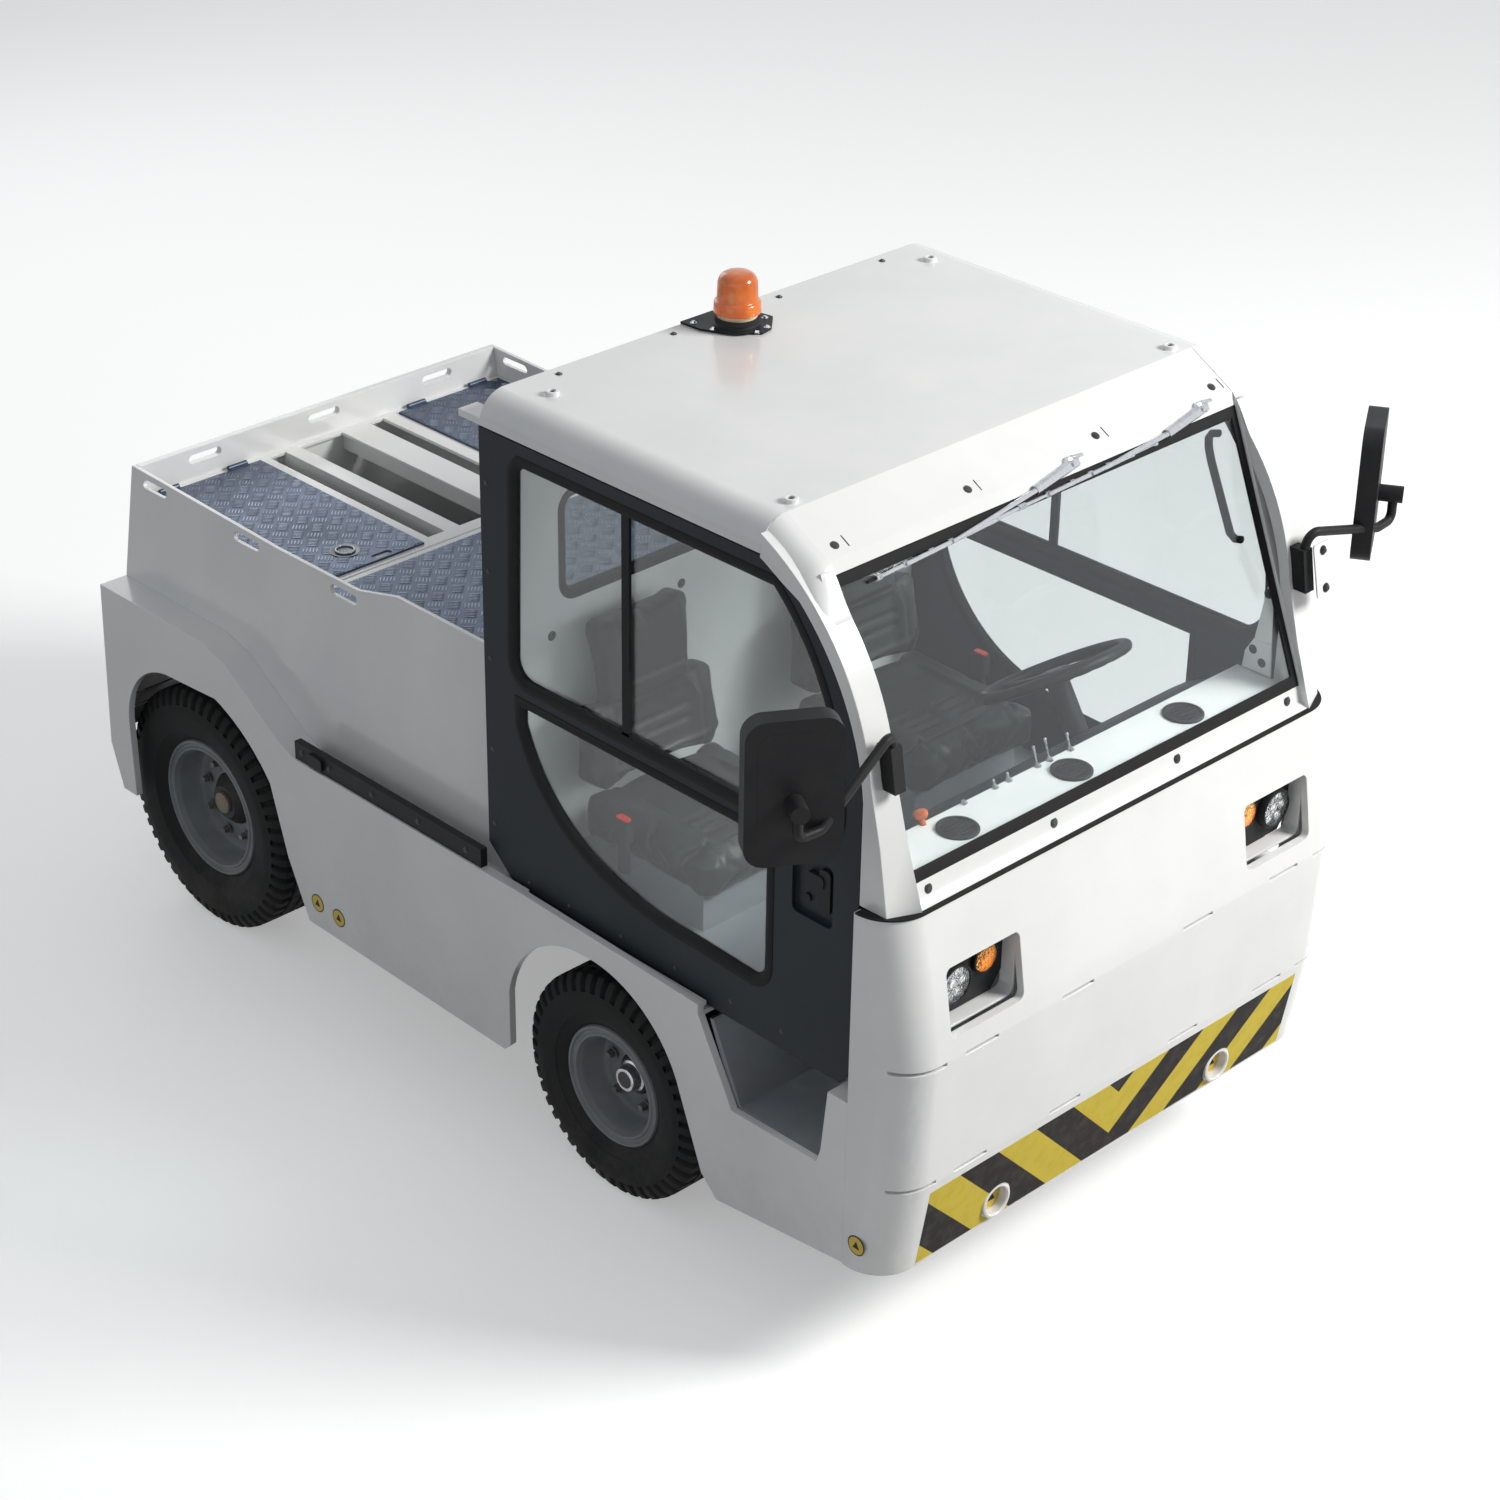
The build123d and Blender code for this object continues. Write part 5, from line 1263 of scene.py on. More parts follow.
# Columns: pivot across, blade's two ends.
for pivot_x, blade_from, blade_to in (
    (0.086, Vector((-0.560, 0.632)), Vector((-0.060, 0.652))),
    (0.526, Vector((-0.110, 0.650)), Vector((0.390, 0.664))),
):
    pivot = Vector((pivot_x, screen_h + 0.014))
    heel = Vector((pivot_x - 0.125, screen_h - 0.010))
    blade = blade_to - blade_from
    turned(wiper_arms, (
        (-0.002, 0.0), (-0.002, 0.0155), (0.009, 0.0155), (0.010, 0.014), (0.012, 0.0085),
        (0.020, 0.0085), (0.0215, 0.007), (0.0215, 0.0),
    ), on_screen(pivot, 0.0092), screen_normal, 20)
    # folded channel, its clamp screw's ear and the sprung rod
    bar_between(
        wiper_arms, pivot + Vector((0.016, 0.0)), heel, (0.024, 0.020), (0.016, 0.014), 0.0102
    )
    bar_between(
        wiper_arms, pivot + Vector((0.006, 0.012)), pivot + Vector((0.040, 0.008)),
        (0.008, 0.008), (0.008, 0.008), 0.0105,
    )
    bar_between(
        wiper_arms, heel, (blade_from + blade_to) / 2, (0.011, 0.008), (0.007, 0.005), 0.0160
    )
    for share_from, share_to, wide, base in bridges:
        bar_between(
            wiper_arms, blade_from + blade * share_from, blade_from + blade * share_to,
            (wide, wide), (0.005, 0.005), base,
        )
    claw_half = Vector((0.007, 0.0))
    for share in (0.06, 0.22, 0.38, 0.5, 0.62, 0.78, 0.94):
        claw = blade_from + blade * share
        bar_between(
            wiper_arms, claw - claw_half, claw + claw_half, (0.013, 0.013), (0.007, 0.007), 0.0075
        )
    for wide, high, base in ((0.0075, 0.0055, 0.0040), (0.002, 0.004, 0.0006)):
        bar_between(wiper_rubbers, blade_from, blade_to, (wide, wide), (high, high), base)
as_piece(
    "wiper_arms", wiper_arms, bright_metal, stands_for=("wipers",)
)
as_piece("wiper_rubbers", wiper_rubbers, rubber)

# ---------------------------------------------------------------- beacon
# Amber two-tier lens with vertical flutes over a whitish sealing ring and a black foot,
# screwed to a black plate on the roof's rear edge.
plate_foot, plate_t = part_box("beacon_base")[0].z, 0.005
lens_low, lens_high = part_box("beacon_lens")
beacon_centre = Vector((
    (lens_low.x + lens_high.x) / 2, (lens_low.y + lens_high.y) / 2, lens_low.z
))
plate_top = plate_foot + plate_t
plate_outline = (
    (-0.115, -0.129), (-0.112, -0.190), (-0.092, -0.238), (-0.024, -0.306), (0.014, -0.298),
    (0.066, -0.250), (0.052, -0.170), (0.024, -0.129),
)
beacon_screw_places = (
    (-0.098, -0.155), (-0.092, -0.215), (-0.030, -0.294), (0.008, -0.290), (0.045, -0.245),
    (0.030, -0.160),
)
pale_ring = finish("pale_ring", rgb(0.72, 0.66, 0.50), rgb(0.62, 0.55, 0.38), 0.4, 0.55)
beacon_foot = bmesh.new()
slab(beacon_foot, plate_outline, plate_top, plate_foot - 0.0004, lying)
turned_parts(beacon_foot, (
    (0, 48, (
        (-0.0275, 0.0), (-0.0275, 0.0545), (-0.020, 0.0545), (-0.0195, 0.052), (-0.014, 0.050),
        (-0.012, 0.0535), (-0.001, 0.0535), (-0.001, 0.0),
    )),
    (1, 48, ((-0.0015, 0.0), (-0.0015, 0.0475), (0.009, 0.0475), (0.009, 0.0))),
), beacon_centre, (0, 0, 1))
as_piece(
    "beacon_foot", beacon_foot, (black_plastic, pale_ring), stands_for=("beacon_base",),
)
fasteners(
    "beacon_screws", [((x, y, plate_top), (0, 0, 1)) for x, y in beacon_screw_places],
    radius=0.006, height=0.004, look=bright_metal, sides=6,
)
# Columns: height, radius, depth of the flutes.
shell_rows = (
    (0.010, 0.0555, 0.0), (0.012, 0.0560, 0.0), (0.034, 0.0545, 0.0), (0.037, 0.0520, 0.0),
    (0.038, 0.0490, 0.0), (0.040, 0.0480, 0.0009), (0.083, 0.0465, 0.0009),
    (0.086, 0.0455, 0.0), (0.092, 0.0430, 0.0), (0.099, 0.0370, 0.0), (0.103, 0.0300, 0.0),
    (0.1048, 0.0150, 0.0),
)
flutes, shell_top = 96, 0.1049
beacon_shell = bmesh.new()
flute_ways = around(Vector((1.0, 0.0, 0.0)), Vector((0.0, 1.0, 0.0)), flutes)
rings = []
for up, radius, flute_depth in shell_rows:
    rings.append([
        beacon_shell.verts.new(
            beacon_centre + way * (radius - (flute_depth if k % 2 else 0.0))
            + Vector((0.0, 0.0, up))
        ) for k, way in enumerate(flute_ways)
    ])
top_point = beacon_shell.verts.new(beacon_centre + Vector((0, 0, shell_top)))
skin(beacon_shell, rings + [[top_point] * flutes])
beacon_shell.faces.new(rings[0][::-1])
beacon_amber, amber_tree, amber_shader = blank_look("beacon_amber", {
    "Roughness": 0.12, "Transmission Weight": 0.35, "IOR": 1.45, "Coat Weight": 0.3,
})
amber_tone = blend_colour(
    amber_tree, ramp(amber_tree, noise(amber_tree, 30.0, 3.0), 0.35, 0.7),
    rgb(0.90, 0.24, 0.02), rgb(0.74, 0.15, 0.012),
)
wire(amber_tree, (amber_tone, amber_shader.inputs["Base Color"]))
as_piece(
    "beacon_shell", beacon_shell, beacon_amber, stands_for=("beacon_lens",),
    crease=50.0,
)

# ---------------------------------------------------------------- cab inside
# White pressed shelf with three round demister vents, a black moulded dash with toggles, a
# knob and a small panel, a column with its wheel, and painted floor and seat boxes.
dash_plastic = finish(
    "dash_plastic", rgb(0.020, 0.021, 0.023), rgb(0.030, 0.031, 0.033), 0.42, 0.6, scale=6.0,
    relief=(1100.0, 0.3, 0.00015), specular=0.15,
)
floor_paint = finish(
    "floor_paint", rgb(0.30, 0.32, 0.35), rgb(0.22, 0.235, 0.26), 0.4, 0.6, scale=5.0,
    dirt=0.4, reach=0.9,
)
eased("dashboard", 0.004, dash_plastic, steps=3)
eased("cab_floor", 0.002, floor_paint)
wheel_grip = finish(
    "wheel_grip", rgb(0.012, 0.012, 0.013), rgb(0.020, 0.020, 0.021), 0.3, 0.5, scale=20.0,
    relief=(1400.0, 0.2, 0.0001), specular=0.2,
)


def hoop(shape, centre, first, second, radius, bar, steps, bar_steps, dent=0.0, index=0):
    """A closed ring of round bar in the plane of two directions. A dent presses every fourth
    step in on the underside, as grips for fingers."""
    upward, rings = first.cross(second), []
    for k, out in enumerate(around(first, second, steps)):
        ring = []
        for j in range(bar_steps):
            roll = 2.0 * math.pi * j / bar_steps
            pressed = bar - dent if math.sin(roll) < -0.3 and k % 4 == 0 else bar
            ring.append(shape.verts.new(
                centre + out * (radius + pressed * math.cos(roll))
                + upward * (pressed * math.sin(roll))
            ))
        rings.append(ring)
    skin(shape, rings, closed=True, index=index)


hub, column_tilt = Vector((0.300, -0.959, 1.219)), math.radians(32.0)
column_way = Vector((0.0, math.sin(column_tilt), math.cos(column_tilt)))
side_way = Vector((1.0, 0.0, 0.0))
fore_way = column_way.cross(side_way)
wheel_r, grip_r, grip_dent = 0.178, 0.014, 0.0012
wheel_shape = bmesh.new()
hoop(wheel_shape, hub, side_way, fore_way, wheel_r, grip_r, 96, 16, grip_dent)
turned(wheel_shape, (
    (-0.0215, 0.0), (-0.0215, 0.030), (-0.012, 0.036), (-0.002, 0.040), (0.003, 0.038),
    (0.0045, 0.030), (0.004, 0.0),
), hub, column_way, 40)
# Columns of a spoke: distance from the hub, width, lower and upper face.
spoke_rows = (
    (0.030, 0.030, -0.012, 0.001), (0.080, 0.024, -0.010, -0.001),
    (0.130, 0.026, -0.008, 0.0), (0.172, 0.036, -0.007, 0.003),
)
for out in around(fore_way, -side_way, 3):
    across = column_way.cross(out)
    skin(wheel_shape, [
        [
            wheel_shape.verts.new(hub + out * reach + across * (wide / 2 * a) + column_way * up)
            for a, up in (
                (-1, low), (1, low), (1.0, (low + high) / 2), (0.6, high), (-0.6, high),
                (-1.0, (low + high) / 2),
            )
        ] for reach, wide, low, high in spoke_rows
    ], capped=True)
as_piece(
    "steering_wheel_moulding", wheel_shape, wheel_grip, "steering_wheel",
    stands_for=("steering_wheel",), crease=45.0,
)

shelf_z, vent_y, vent_r, slat_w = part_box("dashboard")[1].z, -1.290, 0.039, 0.0030
vent_top = shelf_z + 0.0005
vents = bmesh.new()
for x in (-0.390, -0.020, 0.365):
    turned(vents, (
        (-0.001, 0.0), (-0.001, 0.048), (0.004, 0.048), (0.006, 0.046), (0.006, 0.041),
        (0.002, vent_r), (0.002, 0.0),
    ), (x, vent_y, vent_top), (0, 0, 1))
    for offset in (-0.027, -0.018, -0.009, 0.0, 0.009, 0.018, 0.027):
        half = math.sqrt(vent_r ** 2 - offset ** 2)
        slat = rounded(2 * half, slat_w, 0.0014, 2, (x, vent_y + offset))
        slab(vents, slat, vent_top + 0.0050, vent_top + 0.001, lying)
as_piece("demister_vents", vents, black_plastic, crease=40.0)

# Toggles, each as (across, length of its lever, none for a plain nut), and the knob.
shelf_edge_y, edge_way, lever_way = -1.226, (0, 0.35, 0.94), (0.12, 0.45, 0.88)
toggles = bmesh.new()
for x, tall in (
    (-0.30, 0.0), (-0.20, 0.018), (-0.155, 0.018), (-0.06, 0.045), (-0.02, 0.050), (0.05, 0.038),
):
    foot = Vector((x, shelf_edge_y, shelf_z - 0.002))
    turned(toggles, (
        (0.0, 0.0), (0.0, 0.009), (0.004, 0.009), (0.005, 0.006), (0.010, 0.0055), (0.011, 0.0),
    ), foot, edge_way, 16)
    if tall:
        turned(toggles, (
            (0.009, 0.0), (0.009, 0.0022), (tall - 0.006, 0.0030), (tall, 0.0042),
            (tall + 0.003, 0.0035), (tall + 0.004, 0.0),
        ), foot, lever_way, 12)
as_piece("dash_toggles", toggles, bright_metal, crease=40.0)
orange = finish("orange_knob", rgb(0.62, 0.13, 0.03), rgb(0.52, 0.10, 0.025), 0.3, 0.45)
knob = bmesh.new()
turned(knob, (
    (0.0, 0.0), (0.0, 0.008), (0.014, 0.007), (0.016, 0.013), (0.022, 0.0165), (0.030, 0.0165),
    (0.034, 0.012), (0.035, 0.0),
), (-0.430, shelf_edge_y, shelf_z - 0.002), edge_way, 20)
as_piece("dash_knob", knob, orange, crease=40.0)

# ---------------------------------------------------------------- seats
# Moulded black vinyl over foam: a dished cushion with short cross channels, and a back with
# a wide channelled lumbar part under a narrower flat panel.
seat_vinyl, vinyl_tree, vinyl_shader = blank_look("seat_vinyl", {"Specular IOR Level": 0.2})
vinyl_film = add_node(vinyl_tree, "ShaderNodeGroup", {
    "Colour": rgb(0.022, 0.024, 0.024), "Shade": rgb(0.034, 0.035, 0.034), "Scale": 9.0,
    "Smooth": 0.30, "Dull": 0.46,
}, node_tree=uneven_film)
vinyl_place = vinyl_tree.nodes.new("ShaderNodeTexCoord")
vinyl_cells = add_node(vinyl_tree, "ShaderNodeTexVoronoi", {
    "Scale": 1100.0, "Vector": vinyl_place.outputs["Object"],
}, feature="DISTANCE_TO_EDGE")
vinyl_bump = add_node(vinyl_tree, "ShaderNodeBump", {
    "Distance": 0.0002, "Strength": 0.3, "Height": vinyl_cells.outputs["Distance"],
})
wire(
    vinyl_tree,
    (vinyl_film.outputs["Colour"], vinyl_shader.inputs["Base Color"]),
    (vinyl_film.outputs["Roughness"], vinyl_shader.inputs["Roughness"]),
    (vinyl_bump.outputs["Normal"], vinyl_shader.inputs["Normal"]),
)


def blown(name, slabs, cap):
    """A foam pad: rounded slabs made one skin, filled by pressure, and smoothed."""
    shape = bmesh.new()
    for width, depth, radius, across, along, low, high in slabs:
        slab(shape, rounded(width, depth, radius, 8, (across, along)), high, low, lying)
    bmesh.ops.recalc_face_normals(shape, faces=shape.faces)
    rough = bpy.data.meshes.new(name)
    shape.to_mesh(rough)
    shape.free()
    holder = in_scene(name, rough)
    joined = holder.modifiers.new("skin", "REMESH")
    joined.mode = "VOXEL"
    joined.voxel_size = 0.006
    pad = baked(holder)
    smooth = bmesh.new()
    smooth.from_mesh(pad)
    for _ in range(4):
        bmesh.ops.smooth_vert(
            smooth, verts=smooth.verts, factor=0.5, use_axis_x=True, use_axis_y=True,
            use_axis_z=True,
        )
    smooth.to_mesh(pad)
    smooth.free()
    start = [vert.co.copy() for vert in pad.vertices]
    holder = in_scene(name, pad)
    cloth = holder.modifiers.new("cloth", "CLOTH").settings
    cloth.use_pressure = True
    cloth.uniform_pressure_force = 4.0
    cloth.effector_weights.gravity = 0.0
    cloth.quality = 5
    for frame_number in range(1, 21):
        bpy.context.scene.frame_set(frame_number)
    full = baked(holder)
    bpy.context.scene.frame_set(1)
    for vert, begun in zip(full.vertices, start):
        moved = vert.co - begun
        if moved.length > cap:
            vert.co = begun + moved * (cap / moved.length)
    return full


def fade(value, low, high):
    """Smooth step from 0 at low to 1 at high."""
    share = min(1.0, max(0.0, (value - low) / (high - low)))
    return share * share * (3.0 - 2.0 * share)


def groove(offset, width):
    """Depth share of a sewn channel at a distance from its line."""
    return math.exp(-((offset / width) ** 2))


def set_pad(name, pad, carve, placing, stands_for, box):
    """Carve a pad's dish and channels, place it on its seat and keep it in its own space."""
    pad = pad.copy()
    pad.name = name
    for vert in pad.vertices:
        vert.co = carve(vert.co)
    pad.transform(placing)
    for vert in pad.vertices:
        vert.co.z = min(vert.co.z, box[1].z + 0.004)
    pad.materials.append(seat_vinyl)
    pad.shade_smooth()
    piece = in_scene(name, pad)
    rounder = piece.modifiers.new("rounder", "SUBSURF")
    rounder.levels = rounder.render_levels = 1
    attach(piece, "root")
    if stands_for:
        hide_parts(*stands_for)


def line(offset, width, across, low, high):
    """Depth share of a channel that fades out along its line between two distances."""
    return groove(offset, width) * (1.0 - fade(across, low, high))


def cushion_carve(p):
    """Dish, side bolsters and short cross channels in the seat."""
    top = fade(p.z, 0.045, 0.085)
    inner = 1.0 - fade(abs(p.x), 0.120, 0.175)
    dish = 0.016 * inner * fade(p.y, -0.225, -0.120) * (1.0 - 0.8 * fade(p.y, 0.08, 0.16))
    lines = max([
        line(p.y - y, 0.007, abs(p.x - x), 0.040, 0.052)
        for y in (-0.105, -0.070, -0.035) for x in (-0.068, 0.068)
    ] + [
        groove(abs(p.x) - 0.150, 0.006) * 0.8,
        line(p.y + 0.155, 0.006, abs(p.x), 0.140, 0.150) * 0.8,
    ])
    return Vector((p.x, p.y, p.z - top * (dish + 0.006 * lines)))


def back_carve(p):
    """Lumbar channels and the flat inset of the back's upper panel."""
    front = fade(p.z, 0.030, 0.060)
    lines = max(
        line(p.y - 0.085, 0.007, abs(p.x), 0.100, 0.115),
        line(p.y - 0.120, 0.007, abs(p.x), 0.100, 0.115),
        groove(p.y - 0.190, 0.007) * 0.9,
        line(abs(p.x) - 0.140, 0.007, p.y, 0.180, 0.195) * 0.7,
    )
    hollow = 0.014 * (1.0 - fade(abs(p.x), 0.09, 0.15)) * (1.0 - fade(p.y, 0.16, 0.20))
    inset = 0.004 * (1.0 - fade(abs(p.x), 0.095, 0.103)) * (
        fade(p.y, 0.228, 0.236) - fade(p.y, 0.372, 0.380)
    )
    return Vector((p.x, p.y, p.z - front * (0.006 * lines + hollow + inset)))


cushion_pad = blown("cushion_foam", (
    (0.440, 0.452, 0.045, 0.0, 0.0, 0.006, 0.084),
    (0.360, 0.430, 0.040, 0.0, 0.006, 0.002, 0.092),
    (0.080, 0.360, 0.030, 0.174, 0.035, 0.040, 0.102),
    (0.080, 0.360, 0.030, -0.174, 0.035, 0.040, 0.102),
), 0.026)
back_pad = blown("back_foam", (
    (0.424, 0.200, 0.026, 0.0, 0.094, 0.006, 0.062),
    (0.290, 0.318, 0.028, 0.0, 0.250, 0.006, 0.062),
    (0.370, 0.050, 0.016, 0.0, 0.004, 0.016, 0.070),
), 0.022)
back_lean = math.radians(8.0)
cushion_box, back_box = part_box("seat_cushions"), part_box("seat_backs")
back_foot_y, back_foot_z = -0.255, back_box[0].z + 0.0104
# The left pads stand for nothing, as one CAD node holds both sides.
for side_name, x, cushion_node, back_node in (
    ("right", -0.350, ("seat_cushions",), ("seat_backs",)), ("left", 0.350, (), ()),
):
    set_pad(
        f"seat_cushion_{side_name}", cushion_pad, cushion_carve,
        Matrix.Translation((x, -0.490, cushion_box[0].z)), cushion_node, cushion_box,
    )
    leaning = Matrix((
        (1.0, 0.0, 0.0, x),
        (0.0, math.sin(back_lean), -math.cos(back_lean), back_foot_y),
        (0.0, math.cos(back_lean), math.sin(back_lean), back_foot_z),
        (0.0, 0.0, 0.0, 1.0),
    ))
    set_pad(f"seat_back_{side_name}", back_pad, back_carve, leaning, back_node, back_box)
bpy.data.meshes.remove(cushion_pad)
bpy.data.meshes.remove(back_pad)

# ---------------------------------------------------------------- roof corners and fixings
# Pressed corner sheets carry the roll of the roof's side down into the curved posts. The
# header sheet is held by domed screws, and a sealing strip lies under the windscreen sill.
post_points = (Vector((-1.015, 1.927)), Vector((-1.205, 1.784)), Vector((-1.345, 1.475)))


def circle_through(first, second, third):
    """Centre and radius of the circle through three points of a plane."""
    a, b = second - first, third - first
    cross = 2.0 * (a.x * b.y - a.y * b.x)
    along_a, along_b = a.length_squared, b.length_squared
    centre = first + Vector((
        (b.y * along_a - a.y * along_b) / cross, (a.x * along_b - b.x * along_a) / cross,
    ))
    return centre, (first - centre).length


post_centre, post_radius = circle_through(*post_points)


def post_z(y):
    """Height of the corner post's outer curve."""
    return post_centre.y + math.sqrt(post_radius ** 2 - (y - post_centre.x) ** 2)


def header_z(y):
    """Height of the sloping sheet over the windscreen, from its back and front ends."""
    (back_y, back_z), (front_y, front_z) = (-1.0156, 1.9504), (-1.138, 1.8806)
    return back_z + (front_z - back_z) * (y - back_y) / (front_y - back_y)


corner_steps, corner_back_y, corner_run = 18, -1.0158, 0.1942
corner_shape = bmesh.new()
for side in (-1.0, 1.0):
    rings = []
    for k in range(corner_steps + 1):
        y = corner_back_y - corner_run * k / corner_steps
        base, lying_on = post_z(y), 1.0 - fade(-y, 1.132, 1.204)
        inner = (header_z(y) - base) * lying_on + 0.0006
        middle = (header_z(y) - base - 0.016) * lying_on + 0.0005
        edge = -0.032 + 0.026 * fade(-y, 1.060, 1.200)
        # From the header's end outwards, down the roll and back inside the post.
        rings.append([corner_shape.verts.new((side * x, y, base + lift)) for x, lift in (
            (0.6490, inner), (0.6640, inner * 0.94 + middle * 0.06),
            (0.6800, inner * 0.72 + middle * 0.28), (0.6935, middle * 0.9 + inner * 0.1),
            (0.7060, middle * 0.72 + edge * 0.28), (0.7160, middle * 0.30 + edge * 0.70),
            (0.7222, middle * 0.05 + edge * 0.95 - 0.006), (0.7244, edge - 0.022),
            (0.7160, edge - 0.024), (0.6600, -0.030),
        )])
    skin(corner_shape, rings, capped=True)
as_piece("roof_corners", corner_shape, white_paint, crease=50.0)

screw_xs, screw_row_y = (-0.606, -0.206, 0.206, 0.606), -1.112
fasteners("header_screws", [
    ((x, screw_row_y, header_z(screw_row_y)), (0.0, -0.495, 0.869)) for x in screw_xs
], radius=0.0075, height=0.0035, look=rivet_steel, sides=16)
joints = bmesh.new()
for x in screw_xs:
    joint = [(x + 0.030, -1.124), (x + 0.0315, -1.124), (x + 0.0315, -1.099), (x + 0.030, -1.099)]
    slab(joints, joint, 0.0006, -0.001, lambda u, v, depth: (u, v, header_z(v) + depth))
as_piece("header_joints", joints, deep_black)
fasteners("roof_screws", [
    ((x, -0.165, 1.9552), (0, 0, 1)) for x in (-0.52, -0.17, 0.17, 0.52)
], radius=0.006, height=0.003, look=screw_black, sides=16)
plugs = bmesh.new()
for x in (-0.607, 0.607):
    for y, z in ((-0.242, 1.961), (-0.985, 1.956)):
        turned(plugs, (
            (-0.010, 0.0), (-0.010, 0.0078), (-0.001, 0.0078), (-0.001, 0.0),
        ), (x, y, z), (0, 0, 1), 24)
as_piece("boss_plugs", plugs, deep_black)

strip_corner, strip_h = Vector((0.650, -1.341, 1.1785)), 0.004
quarter = [math.radians(a) for a in range(0, 91, 6)]
sill_strip = bmesh.new()
rings = []
for side, angle in [(-1, a) for a in quarter] + [(1, a) for a in quarter[::-1]]:
    out = Vector((side * math.cos(angle), -math.sin(angle), 0.0))
    corner = Vector((side * strip_corner.x, strip_corner.y, strip_corner.z))
    rings.append([
        sill_strip.verts.new(corner + out * radius + Vector((0.0, 0.0, lift)))
        for radius, lift in (
            (0.080, 0.0), (0.1028, 0.0), (0.1036, strip_h / 2), (0.1028, strip_h),
            (0.080, strip_h),
        )
    ])
skin(sill_strip, rings, capped=True)
as_piece("sill_seal", sill_strip, rubber)

# The posts' feet are pressed back to the round of the nose's corners.
foot_set_back = 0.032
for vert in bpy.data.objects["cab_front_frame_skin"].data.vertices:
    p = vert.co
    share = fade(abs(p.x), 0.660, 0.724) * fade(1.400 - p.z, 0.0, 0.220)
    p.y += foot_set_back * share * fade(-p.y, 1.330, 1.400)

fasteners(
    "nose_screw", [((0.676, -1.4835, 0.802), (0.30, -0.95, 0.0))], radius=0.006,
    height=0.003, look=screw_black, sides=16,
)

# ---------------------------------------------------------------- mirrors and post fittings
# Flat glass in the back of each moulded black housing, which hangs on a bent tube. A white
# plate with two bolts on the left post, a black grab handle inside it, and gusset plates at
# the foot of both posts.
coated("mirrors", black_plastic)
mirror_silver = finish(
    "mirror_silver", rgb(0.80, 0.82, 0.83), rgb(0.72, 0.74, 0.75), 0.02, 0.05, metallic=1.0
)
mirror_turn, mirror_x, mirror_y = math.radians(32.0), 0.928, -1.315
glass_w, glass_h, rib_w, rib_h = 0.188, 0.313, 0.150, 0.275
mirror_glass, mirror_ribs = bmesh.new(), bmesh.new()
for side, mirror_z in ((-1, 1.550), (1, 1.628)):
    backward = Vector((-side * math.sin(mirror_turn), math.cos(mirror_turn), 0.0))
    placing = Matrix.Translation((side * mirror_x, mirror_y, mirror_z)) @ Matrix((
        (backward.y, 0.0, backward.x), (-backward.x, 0.0, backward.y), (0.0, 1.0, 0.0),
    )).to_4x4()

    def on_mirror(u, v, lift, placing=placing):
        """A point by the glass: across, up and backwards off it."""
        return placing @ Vector((u, v, lift))

    slab(mirror_glass, rounded(glass_w, glass_h, 0.038, 6), 0.0006, -0.001, on_mirror)
    # raised panel on the side away from the glass
    slab(mirror_ribs, rounded(rib_w, rib_h, 0.030, 6), -0.040, -0.0463, on_mirror)
as_piece("mirror_glass", mirror_glass, mirror_silver)
as_piece("mirror_ribs", mirror_ribs, black_plastic)

plate_tilt, plate_w, plate_h, bolt_up = math.radians(12.0), 0.062, 0.128, 0.045
plate_out = Vector((0.0, -math.cos(plate_tilt), math.sin(plate_tilt)))
plate_up = Vector((0.0, math.sin(plate_tilt), math.cos(plate_tilt)))


def on_plate(u, v, lift):
    """A point by the left post: across, up along it and off it."""
    return Vector((0.710 + u, -1.3905, 1.505)) + plate_up * v + plate_out * lift


plates = bmesh.new()
slab(plates, rounded(plate_w, plate_h, 0.006, 3), 0.004, 0.0, on_plate)
as_piece("mirror_plates", plates, white_paint)
fasteners("mirror_plate_bolts", [
    (on_plate(0.0, v, 0.004), plate_out) for v in (-bolt_up, bolt_up)
], radius=0.0085, height=0.006, look=screw_black, sides=6)

# The handle's middle line, as (Y, Z), in the plane of the left post's inside.
handle_x, handle_thick, handle_deep = 0.640, 0.011, 0.009
handle_path = [Vector(place) for place in (
    (-1.205, 1.535), (-1.188, 1.531), (-1.172, 1.540), (-1.100, 1.700), (-1.090, 1.730),
    (-1.088, 1.752), (-1.096, 1.766), (-1.115, 1.772),
)]
handle = bmesh.new()
rings = []
for before, place, after in zip(
    handle_path[:1] + handle_path, handle_path, handle_path[1:] + handle_path[-1:]
):
    run = (after - before).normalized()
    oval = around(
        Vector((handle_thick, 0.0, 0.0)), Vector((0.0, -run.y, run.x)) * handle_deep, 14
    )
    middle = Vector((handle_x, place.x, place.y))
    rings.append([handle.verts.new(middle + out) for out in oval])
skin(handle, rings, capped=True)
as_piece("grab_handle", handle, black_plastic, crease=50.0)

gussets = bmesh.new()
gusset_spots = []
for side in (-1, 1):
    for outline, inner_x in (
        (((-1.235, 1.218), (-1.318, 1.218), (-1.312, 1.300), (-1.262, 1.300), (-1.240, 1.262)),
         0.6465),
        (((-1.262, 1.298), (-1.312, 1.298), (-1.300, 1.470), (-1.290, 1.470)), 0.6478),
    ):
        slab(gussets, outline, side * inner_x, side * 0.6500, facing_aside)
    gusset_spots += [
        ((side * 0.6464, y, z), (-side, 0, 0))
        for y, z in ((-1.262, 1.272), (-1.290, 1.246), (-1.290, 1.425))
    ]
as_piece("post_gussets", gussets, white_paint)
fasteners("gusset_bolts", gusset_spots, radius=0.0085, height=0.004, look=screw_black, sides=16)

